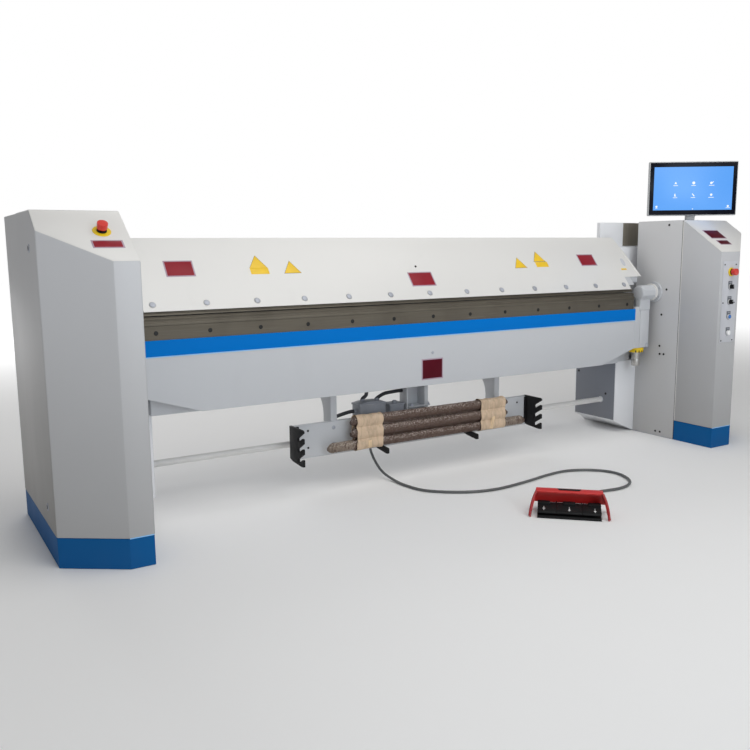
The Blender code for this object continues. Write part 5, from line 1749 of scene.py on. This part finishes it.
    def wraps(self) -> None:
        """Bind the bars with two crumpled paper sleeves and a strip of tape on each."""
        front = self.bar_y - self.bar_radius - 0.0062
        strip = Stock().box((-0.399, front, 0.200), (-0.377, front + 0.003, 0.236), 0.001)
        lean = Matrix.Translation((0.440, front, 0.238)) @ Matrix.Rotation(math.radians(14.0), 4, "Y")
        slant = Stock().box((-0.011, 0.0, -0.042), (0.011, 0.003, 0.042), 0.001, lean)
        for side, near, far, tape in (("left", -0.465, -0.306, strip), ("right", 0.355, 0.535, slant)):
            sleeve = Stock()
            paper_sleeve(sleeve, (near, far), self.bar_y, self.bar_z, self.bar_radius + 0.0035, 3.0 + near)
            self.make(f"{side}_sleeve", sleeve, PAPER, f"{side}_paper_wrap")
            self.make(f"{side}_tape", tape, TAPE)


def tube(stock: Stock, points: Sequence[Vector], radius: float, sides: int) -> None:
    """Add a round tube along points, grown ring by ring.

    Args:
        stock: The piece it is added to.
        points: Its centreline.
        radius: Its radius.
        sides: Facets round it.
    """
    neighbours = zip([points[0], *points[:-1]], [*points[1:], points[-1]])
    ways = [(after - before).normalized() for before, after in neighbours]
    whole = bmesh.new()
    rings = []
    for point, way in zip(points, ways):
        place = facing(point, way, (0.11, 0.97, 0.2))
        made = bmesh.ops.create_circle(whole, segments=sides, radius=radius, matrix=place)["verts"]
        rings.append([line for vert in made for line in vert.link_edges])
    for first, second in zip(rings, rings[1:]):
        bmesh.ops.bridge_loops(whole, edges=list({*first, *second}))
    bmesh.ops.holes_fill(whole, edges=whole.edges, sides=sides)
    stock.add(whole, Matrix.Identity(4))


def wobble(place: Vector, scale: float, amount: float) -> float:
    """Return a smooth bump at a place, the same each time."""
    return noise.noise(place * scale) * amount


def paper_tube(stock: Stock, span: tuple[float, float], centre: Point, radius: float, seed: float) -> None:
    """Add one bar in crinkled paper, twisted shut at both ends.

    Args:
        stock: The piece it is added to.
        span: Where it starts and ends along X.
        centre: Its Y and Z.
        radius: Its radius.
        seed: Offset that makes its creases its own.
    """
    part = bmesh.new()
    near, far = span
    count = 170
    rings = []
    for step in range(count + 1):
        share = step / count
        x = near + (far - near) * share
        end = min(share, 1.0 - share) * (far - near)
        pinch = 1.0 - 0.62 * max(0.0, 1.0 - end / 0.030) ** 1.5
        sag = -0.006 * max(0.0, 1.0 - end / 0.035)
        place = facing((x, centre[0], centre[1] + sag), (1.0, 0.0, 0.0))
        tight = radius * 0.965 * pinch
        made = bmesh.ops.create_circle(part, segments=28, radius=tight, matrix=place)["verts"]
        for vert in made:
            out = (vert.co - place.translation).normalized()
            rough = 0.0016 + 0.004 * max(0.0, 1.0 - end / 0.05)
            spot = Vector((vert.co.x * 2.2 + seed, vert.co.y, vert.co.z))
            bump = wobble(spot, 42.0, rough) + wobble(spot, 120.0, rough * 0.45)
            vert.co += out * min(bump, 0.0008 if end > 0.05 else 0.003)
        rings.append([line for vert in made for line in vert.link_edges])
    for first, second in zip(rings, rings[1:]):
        bmesh.ops.bridge_loops(part, edges=list({*first, *second}))
    bmesh.ops.holes_fill(part, edges=part.edges, sides=28)
    stock.add(part, Matrix.Identity(4))


def paper_sleeve(
    stock: Stock, span: tuple[float, float], y: float, heights: Sequence[float], radius: float, seed: float
) -> None:
    """Add a crumpled sleeve that hugs the bars, pinched in between them.

    Args:
        stock: The piece it is added to.
        span: Where it starts and ends along X.
        y: The bars' Y.
        heights: The bars' heights.
        radius: Its radius round a bar.
        seed: Offset that makes its creases its own.
    """
    part = bmesh.new()
    near, far = span
    outline = []
    for sign in (-1.0, 1.0):
        column = []
        for step in range(33):
            z = heights[0] + (heights[-1] - heights[0]) * step / 32.0
            nearest = min(abs(z - height) for height in heights)
            column.append((y + sign * (radius - 0.0085 * (nearest / 0.0315) ** 2.2), z))
        outline.append(column)
    caps = []
    for height, start in ((heights[-1], math.pi), (heights[0], 0.0)):
        turns = [start - math.pi * step / 16.0 for step in range(1, 16)]
        caps.append([(y + radius * math.cos(turn), height + radius * math.sin(turn)) for turn in turns])
    loop = [*outline[0], *caps[0], *reversed(outline[1]), *caps[1]]
    stations = 30
    rings = []
    for step in range(stations + 1):
        share = step / stations
        x = near + (far - near) * share
        flare = 0.0035 * max(0.0, 1.0 - min(share, 1.0 - share) * (far - near) / 0.020)
        ring = []
        for at_y, at_z in loop:
            out = Vector((0.0, at_y - y, (at_z - heights[1]) * 0.25)).normalized()
            spot = Vector((x + seed, at_y, at_z * 0.8))
            lift = 0.0022 + flare + wobble(spot, 24.0, 0.0042) + wobble(spot, 70.0, 0.0018)
            edge = wobble(Vector((seed, at_y, at_z)), 30.0, 0.007) * (abs(share - 0.5) * 2.0) ** 6
            ring.append(part.verts.new(Vector((x + edge, at_y, at_z)) + out * max(lift, 0.0004)))
        lines = [part.edges.new((ring[index], ring[(index + 1) % len(ring)])) for index in range(len(ring))]
        rings.append(lines)
    for first, second in zip(rings, rings[1:]):
        bmesh.ops.bridge_loops(part, edges=[*first, *second])
    bmesh.ops.recalc_face_normals(part, faces=part.faces)
    bmesh.ops.solidify(part, geom=part.faces, thickness=0.0008)
    stock.add(part, Matrix.Identity(4))


@dataclass(frozen=True)
class Icon:
    """One plain mark on the screen: a disc, a flat outline or both, over a short bar."""

    place: Point
    disc: tuple[float, float, float, int] | None = None
    outline: tuple[Point, ...] = ()
    bar: Point = (0.014, -0.0175, -0.0145)

    def draw(self, stock: Stock, frame: Matrix) -> None:
        """Add the mark to a piece.

        Args:
            stock: The piece it is added to.
            frame: The mark's middle on the screen.
        """
        thin = 0.0005
        if self.disc:
            x, y, radius, sides = self.disc
            stock.drum((x, y, 0.0), (x, y, thin), radius, sides=sides, frame=frame)
        if self.outline:
            stock.slab([(x, y, 0.0) for x, y in self.outline], (0.0, 0.0, thin), 0.0, frame)
        wide, low, high = self.bar
        if wide:
            stock.box((-wide, low, 0.0), (wide, high, thin), 0.0, frame)


@dataclass(frozen=True)
class Monitor(Assembly):
    """The touch screen on its stand."""

    body: Body = Body.SCREEN
    x: float = 2.030
    y: float = -0.020
    turn: float = math.radians(-34.0)
    width: float = 0.561
    height: float = 0.341
    bottom: float = 1.4275
    glass_y: float = -0.0478
    back_y: float = -0.015
    border_side: float = 0.031
    border_top: float = 0.034
    border_bottom: float = 0.035
    icons: tuple[Icon, ...] = (
        Icon((-0.112, 0.206), None, ((-0.008, -0.006), (0.008, -0.006), (0.0, 0.009))),
        Icon((0.002, 0.206), (0.0, 0.0, 0.0090, 24)),
        Icon(
            (0.116, 0.206), (-0.003, -0.001, 0.0075, 20),
            ((0.000, 0.001), (0.004, -0.003), (0.013, 0.007), (0.010, 0.009)), (0.017, -0.0175, -0.0145),
        ),
        Icon(
            (-0.112, 0.130), None,
            ((-0.006, -0.008), (0.006, -0.008), (0.001, 0.0), (0.001, 0.009), (-0.005, 0.009)),
        ),
        Icon((0.002, 0.130), None, ((-0.009, 0.008), (-0.004, 0.010), (0.009, -0.006), (0.004, -0.009))),
        Icon((0.116, 0.130), (0.0, 0.001, 0.0080, 6), (), (0.017, -0.0175, -0.0145)),
        Icon((-0.22795, 0.058), (0.0, 0.0, 0.0065, 16), (), (0.006, -0.0115, -0.0090)),
        Icon((0.22504, 0.058), (0.0, 0.0, 0.0065, 16), (), (0.013, -0.0115, -0.0090)),
        Icon((0.002, 0.042), (0.0, 0.0, 0.0030, 16), (), (0.0, 0.0, 0.0)),
    )

    def build(self) -> None:
        """Dress the monitor, light its screen and close its back."""
        self.shop.dress(SILVER, 0.009, "monitor")
        self.shop.dress(GLASS, 0.0015, "monitor_glass")
        self.shop.dress(DARK, 0.0015, "monitor_base")
        frame = Matrix.Translation((self.x, self.y, 0.0)) @ Matrix.Rotation(self.turn, 4, "Z")
        half = self.width / 2.0
        face = self.glass_y - 0.0004
        top = self.bottom + self.height
        low = (-half + self.border_side, face, self.bottom + self.border_bottom)
        high = (half - self.border_side, self.glass_y + 0.001, top - self.border_top)
        self.make("screen_pane", Stock().box(low, high, 0.0002, frame), PANE)
        marks = Stock()
        for icon in self.icons:
            x, z = icon.place
            icon.draw(marks, frame @ facing((x, face, self.bottom + z), FORWARD))
        self.make("screen_marks", marks, MARK)
        low = (-half + 0.030, self.back_y - 0.001, self.bottom + 0.030)
        shell = Stock().box(low, (half - 0.030, self.back_y + 0.012, top - 0.030), 0.006, frame)
        self.make("monitor_back", shell, DARK)
        slots = Stock()
        for index in range(18):
            x = -0.17 + index * 0.020
            low = (x, self.back_y + 0.0115, self.bottom + 0.262)
            slots.box(low, (x + 0.011, self.back_y + 0.0128, self.bottom + 0.292), 0.0006, frame)
        self.make("monitor_slots", slots, BLACK)
        turns = [math.radians(45.0 + 90.0 * index) for index in range(4)]
        away = [(0.053 * math.cos(turn), 0.053 * math.sin(turn)) for turn in turns]
        places = [(self.x + x, self.y + y, 1.3963) for x, y in away]
        screws = Stock().screws(places, UPWARD, 0.0050, 0.003)
        self.shop.deliver(screws, "stand_screws", Body.FRAME, BOLT)


@dataclass(frozen=True)
class Controls(Assembly):
    """Stop buttons, selectors and push buttons, with the plate they sit on."""

    plate_left: float = 1.781
    plate_width: float = 0.137
    plate_top: float = 1.143
    plate_bottom: float = 0.652
    face_y: float = -0.4723
    x: float = 1.853
    stop_z: float = 1.077
    selector_z: tuple[float, float] = (0.989, 0.898)
    blue_z: float = 0.808
    white_z: float = 0.710
    blue_radius: float = 0.0118
    white_radius: float = 0.0147
    holder_radius: float = 0.0176
    hole_radius: float = 0.0119
    left_stop: Point = (-1.779, -0.309)
    slope_drop: float = 0.196
    slope_run: float = 0.281
    collar: tuple[Point, ...] = (
        (0.0115, 0.0), (0.0255, 0.0), (0.0255, 0.0065), (0.0235, 0.0085), (0.0115, 0.0085), (0.0115, 0.0),
    )
    neck: tuple[Point, ...] = (
        (0.0115, 0.0040), (0.0190, 0.0040), (0.0190, 0.0064), (0.0181, 0.0076), (0.0190, 0.0088),
        (0.0187, 0.0101), (0.0115, 0.0101), (0.0115, 0.0040),
    )
    stem: tuple[Point, ...] = ((0.0, 0.0102), (0.0113, 0.0102), (0.0113, 0.0166), (0.0, 0.0166))
    crown: tuple[Point, ...] = (
        (0.0, 0.0395), (0.0150, 0.0402), (0.0188, 0.0396), (0.0204, 0.0375), (0.0206, 0.0330),
        (0.0201, 0.0290), (0.0203, 0.0200), (0.0196, 0.0170), (0.0, 0.0170),
    )

    def build(self) -> None:
        """Dress the controls and add their small parts."""
        self.shop.dress(PLATE, 0.0006, "control_plate")
        self.shop.dress(YELLOW, 0.0008, "left_stop_collar")
        self.shop.dress(CAP_RED, 0.004, "left_stop_button", "right_stop_button")
        self.shop.dress(BLACK, 0.0012, "upper_selector", "lower_selector")
        self.shop.dress(LENS_BLUE, 0.0012, "blue_button")
        self.shop.dress(LENS_WHITE, 0.0012, "white_button")
        self.plate_parts()
        self.holders()
        self.rings()
        self.caps()
        height = 1.391 - self.slope_drop * (-0.189 - self.left_stop[1]) / self.slope_run
        left = facing((*self.left_stop, height), (0.0, -self.slope_drop, self.slope_run), BACKWARD)
        front = self.spot(self.stop_z)
        self.make("stop_guard_ring", Stock().lathe(self.collar, front, 40), YELLOW, "right_stop_collar")
        for side, frame, body in (("right", front, Body.RIGHT_STOP), ("left", left, Body.LEFT_STOP)):
            self.make(f"{side}_stop_neck", Stock().lathe(self.neck, frame), BLACK)
            self.shop.deliver(Stock().lathe(self.stem, frame), f"{side}_stop_stem", body, BLACK)
            self.shop.deliver(Stock().lathe(self.crown, frame, 40), f"{side}_stop_crown", body, CAP_RED)

    def spot(self, z: float) -> Matrix:
        """Return the frame of a control on the plate's face."""
        return facing((self.x, self.face_y, z), FORWARD)

    def plate_parts(self) -> None:
        """Set the plate's six screws and its shadow gap."""
        left, right = self.plate_left, self.plate_left + self.plate_width
        low, high = self.plate_bottom, self.plate_top
        columns = (left + 0.013, left + 0.119)
        places = [(x, self.face_y, z) for x in columns for z in (1.1205, 0.892, 0.6640)]
        self.make("plate_screws", Stock().screws(places, FORWARD, 0.0048, 0.0022), OXIDE)
        gap = Stock()
        edge, front, back = 0.0012, -0.4708, -0.4698
        for low_z, high_z in ((high, high + edge), (low - edge, low)):
            gap.box((left - edge, front, low_z), (right + edge, back, high_z), 0.0)
        for low_x in (left - edge, right):
            gap.box((low_x, front, low - edge), (low_x + edge, back, high + edge), 0.0)
        self.make("plate_gap", gap, DOOR)

    def holders(self) -> None:
        """Add the dark label holder over each control, with its pale insert."""
        turns = [math.pi * (1.0 + step / 10.0) for step in range(11)]
        wide, narrow = self.holder_radius, self.hole_radius
        outer = [(wide * math.cos(turn), wide * math.sin(turn)) for turn in turns]
        outer += [(wide, 0.0330), (-wide, 0.0330)]
        turns += [math.pi * 0.25, math.pi * 0.75]
        inner = [(narrow * math.cos(turn), narrow * math.sin(turn)) for turn in turns]
        holders = Stock()
        inserts = Stock()
        for z in (*self.selector_z, self.blue_z, self.white_z):
            frame = self.spot(z)
            for here in range(len(outer)):
                knots = (outer[here - 1], outer[here], inner[here], inner[here - 1])
                holders.slab([(*knot, 0.0) for knot in knots], (0.0, 0.0, 0.0016), 0.0, frame)
            inserts.box((-0.0120, 0.0205, 0.0014), (0.0120, 0.0295, 0.0020), 0.0003, frame)
        self.make("label_holders", holders, DARK)
        self.make("label_inserts", inserts, BOX)

    def rings(self) -> None:
        """Add the metal ring round each control."""
        rings = Stock()
        sizes = [(z, 0.0143, 0.0154, 0.0066) for z in self.selector_z]
        for z, lens in ((self.blue_z, self.blue_radius), (self.white_z, self.white_radius)):
            sizes.append((z, lens + 0.0004, max(0.0150, lens + 0.0013), 0.0084))
        for z, bore, radius, height in sizes:
            rim = [(radius, 0.0), (radius, height - 0.0010), (radius - 0.0009, height)]
            rings.lathe([(bore, 0.0), *rim, (bore, height), (bore, 0.0)], self.spot(z))
        self.make("control_rings", rings, RING)

    def caps(self) -> None:
        """Add the lenses of the push buttons and the white lines on the selectors."""
        for name, body, z, radius, finish in (
            ("blue", Body.BLUE_BUTTON, self.blue_z, self.blue_radius, LENS_BLUE),
            ("white", Body.WHITE_BUTTON, self.white_z, self.white_radius, LENS_WHITE),
        ):
            profile = [(0.0, 0.0086), (radius, 0.0086), (radius, 0.0116)]
            profile += [(radius - 0.0011, 0.0132), (radius - 0.0067, 0.0143), (0.0, 0.0147)]
            self.shop.deliver(Stock().lathe(profile, self.spot(z), 40), f"{name}_lens", body, finish)
        bodies = (Body.UPPER_SELECTOR, Body.LOWER_SELECTOR)
        for name, body, z in zip(("upper", "lower"), bodies, self.selector_z):
            line = Stock().box((-0.0009, 0.0010, 0.0258), (0.0009, 0.0122, 0.0266), 0.0002, self.spot(z))
            self.shop.deliver(line, f"{name}_selector_line", body, LENS_WHITE)


@dataclass(frozen=True)
class Pedal(Assembly):
    """The foot pedal unit: base, guard and three treads."""

    x: float = 0.0775
    y: float = -0.9640
    turn: float = math.radians(-43.6)
    edges: tuple[float, ...] = (-0.144, -0.0577, 0.0577, 0.144)
    block_x: float = 0.1150
    treads: tuple[tuple[str, Body], ...] = (
        ("left", Body.LEFT_PEDAL), ("middle", Body.MIDDLE_PEDAL), ("right", Body.RIGHT_PEDAL),
    )
    profile: tuple[Point, ...] = (
        (0.003, 0.0225), (0.003, 0.0290), (0.006, 0.0318), (0.0995, 0.0480), (0.1005, 0.0455),
        (0.1005, 0.0270),
    )
    rim: tuple[Point, ...] = (
        (0.151, 0.0850, 0.1010), (0.160, 0.0640, 0.0840), (0.1675, 0.0420, 0.0640), (0.1740, 0.0250, 0.0360),
        (0.1785, 0.0108, 0.0034),
    )

    def frame(self) -> Matrix:
        """Return the unit's own frame on the floor."""
        return Matrix.Translation((self.x, self.y, 0.0)) @ Matrix.Rotation(self.turn, 4, "Z")

    def build(self) -> None:
        """Dress the pedal unit and add treads, rim, core, marks and screws."""
        self.shop.dress(BLACK, 0.002, "pedal_base")
        self.shop.dress(RED, 0.0014, "pedal_guard")
        self.shop.dress(BLACK, 0.0015, "pedal_gland")
        for index, (name, body) in enumerate(self.treads):
            self.tread(index, name, body)
        self.guard()
        frame = self.frame()
        core = Stock().box((-0.1420, 0.0620, 0.0115), (0.1420, 0.1020, 0.0200), 0.0015, frame)
        for x in (-self.edges[2], self.edges[2]):
            core.box((x - 0.0022, 0.1300, 0.0110), (x + 0.0022, 0.1356, 0.0420), 0.0006, frame)
        self.make("pedal_core", core, BLACK)
        lip = Stock().box((-0.144, -0.0035, 0.001), (0.144, 0.001, 0.0115), 0.0012, frame)
        self.make("pedal_lip", lip, BLACK)
        screws = Stock()
        for x in (-0.120, 0.120):
            screws.hex_screw(frame @ facing((x, 0.1362, 0.060), BACKWARD), 0.0055, 0.003)
        self.make("guard_screws", screws, BOLT)
        lean = Matrix.Rotation(math.atan2(0.006, 0.056), 4, "X")
        roof = frame @ Matrix.Translation((0.0, 0.112, 0.10255)) @ lean
        outline = [(-0.046, 0.002, 0.0), (0.046, 0.002, 0.0), (0.056, 0.022, 0.0), (-0.056, 0.022, 0.0)]
        self.make("guard_mark", Stock().slab(outline, (0.0, 0.0, 0.0009), 0.0002, roof), BLACK)

    def tread(self, index: int, name: str, body: Body) -> None:
        """Add one tread with its ribs and its arrow.

        Args:
            index: 0 for the left tread, 1 for the middle one and 2 for the right one.
            name: The tread's name.
            body: The body it rides on.
        """
        frame = self.frame()
        left, right = self.edges[index] + 0.0004, self.edges[index + 1] - 0.0004
        middle = self.block_x * (index - 1)
        tread = Stock().slab([(left, y, z) for y, z in self.profile], (right - left, 0.0, 0.0), 0.0016, frame)
        low, high = max(left, middle - 0.0285), min(right, middle + 0.0285)
        tread.box((low, 0.0700, 0.0400), (high, 0.1005, 0.0545), 0.0020, frame)
        self.shop.deliver(tread, f"{name}_tread", body, TREAD, f"{name}_pedal")
        rise = math.atan2(0.0162, 0.0935)
        top = frame @ Matrix.Translation((middle, 0.003, 0.0312)) @ Matrix.Rotation(rise, 4, "X")
        ribs = Stock()
        for y in (0.0, 0.0050, 0.0100, 0.0150):
            low = (left - middle + 0.004, 0.004 + y, -0.0015)
            ribs.box(low, (right - middle - 0.004, 0.0062 + y, 0.0007), 0.0004, top)
        self.shop.deliver(ribs, f"{name}_tread_ribs", body, TREAD)
        arrow = Stock().box((-0.0012, 0.014, -0.0010), (0.0012, 0.052, 0.0012), 0.0002, top)
        if index == 0:
            arrow.box((-0.0070, 0.030, -0.0010), (0.0070, 0.0325, 0.0012), 0.0002, top)
        else:
            foot, tip = ((0.022, 0.036), (0.028, 0.014))[index - 1]
            head = [(-0.0058, foot, 0.0), (0.0058, foot, 0.0), (0.0, tip, 0.0)]
            arrow.slab(head, (0.0, 0.0, 0.0012), 0.0, top)
        self.shop.deliver(arrow, f"{name}_tread_mark", body, LENS_WHITE)

    def guard(self) -> None:
        """Run the guard's dark rim down both sides, and the bead along its front edge."""
        frame = self.frame()
        rim = Stock()
        for side in (-1.0, 1.0):
            route = smooth_route([(side * x, y, z) for x, y, z in self.rim], 0.006)
            tube(rim, [frame @ point for point in route], 0.0066, 14)
        self.make("guard_rim", rim, RED_RIM)
        bead = Stock()
        tube(bead, [frame @ Vector((x / 20.0 * 0.151, 0.0850, 0.1020)) for x in range(-20, 21)], 0.0034, 10)
        self.make("guard_bead", bead, RED)


def main() -> None:
    """Load the frame and build every sub-assembly on it."""
    logging.basicConfig(level=logging.INFO, format="%(name)s: %(message)s")
    for item in [*bpy.data.objects]:
        bpy.data.objects.remove(item)
    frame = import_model()
    shop = Shop(frame)
    PhotoCamera().build(shop)
    PedalCable(shop).build()
    Studio().build()
    right_plates = ((1.889, -0.318, 0.146, 0.091), (1.8875, -0.389, 0.108, 0.048))
    for part in (
        Cabinet(shop),
        Cabinet(
            shop, side=Side.RIGHT, outer=2.173, face=0.176, plates=right_plates, plate_finish=SIGN_MAROON
        ),
        Column(shop),
        Column(shop, side=Side.RIGHT, leg=1.575, head_reach=0.193, head_depth=0.030),
        FoldingUnit(shop),
        ClampingUnit(shop),
        LowerBeam(shop),
        Rack(shop),
        Monitor(shop),
        Controls(shop),
        Pedal(shop),
    ):
        part.build()
    LOG.info("%d pieces delivered", shop.count)


if __name__ == "__main__":
    main()
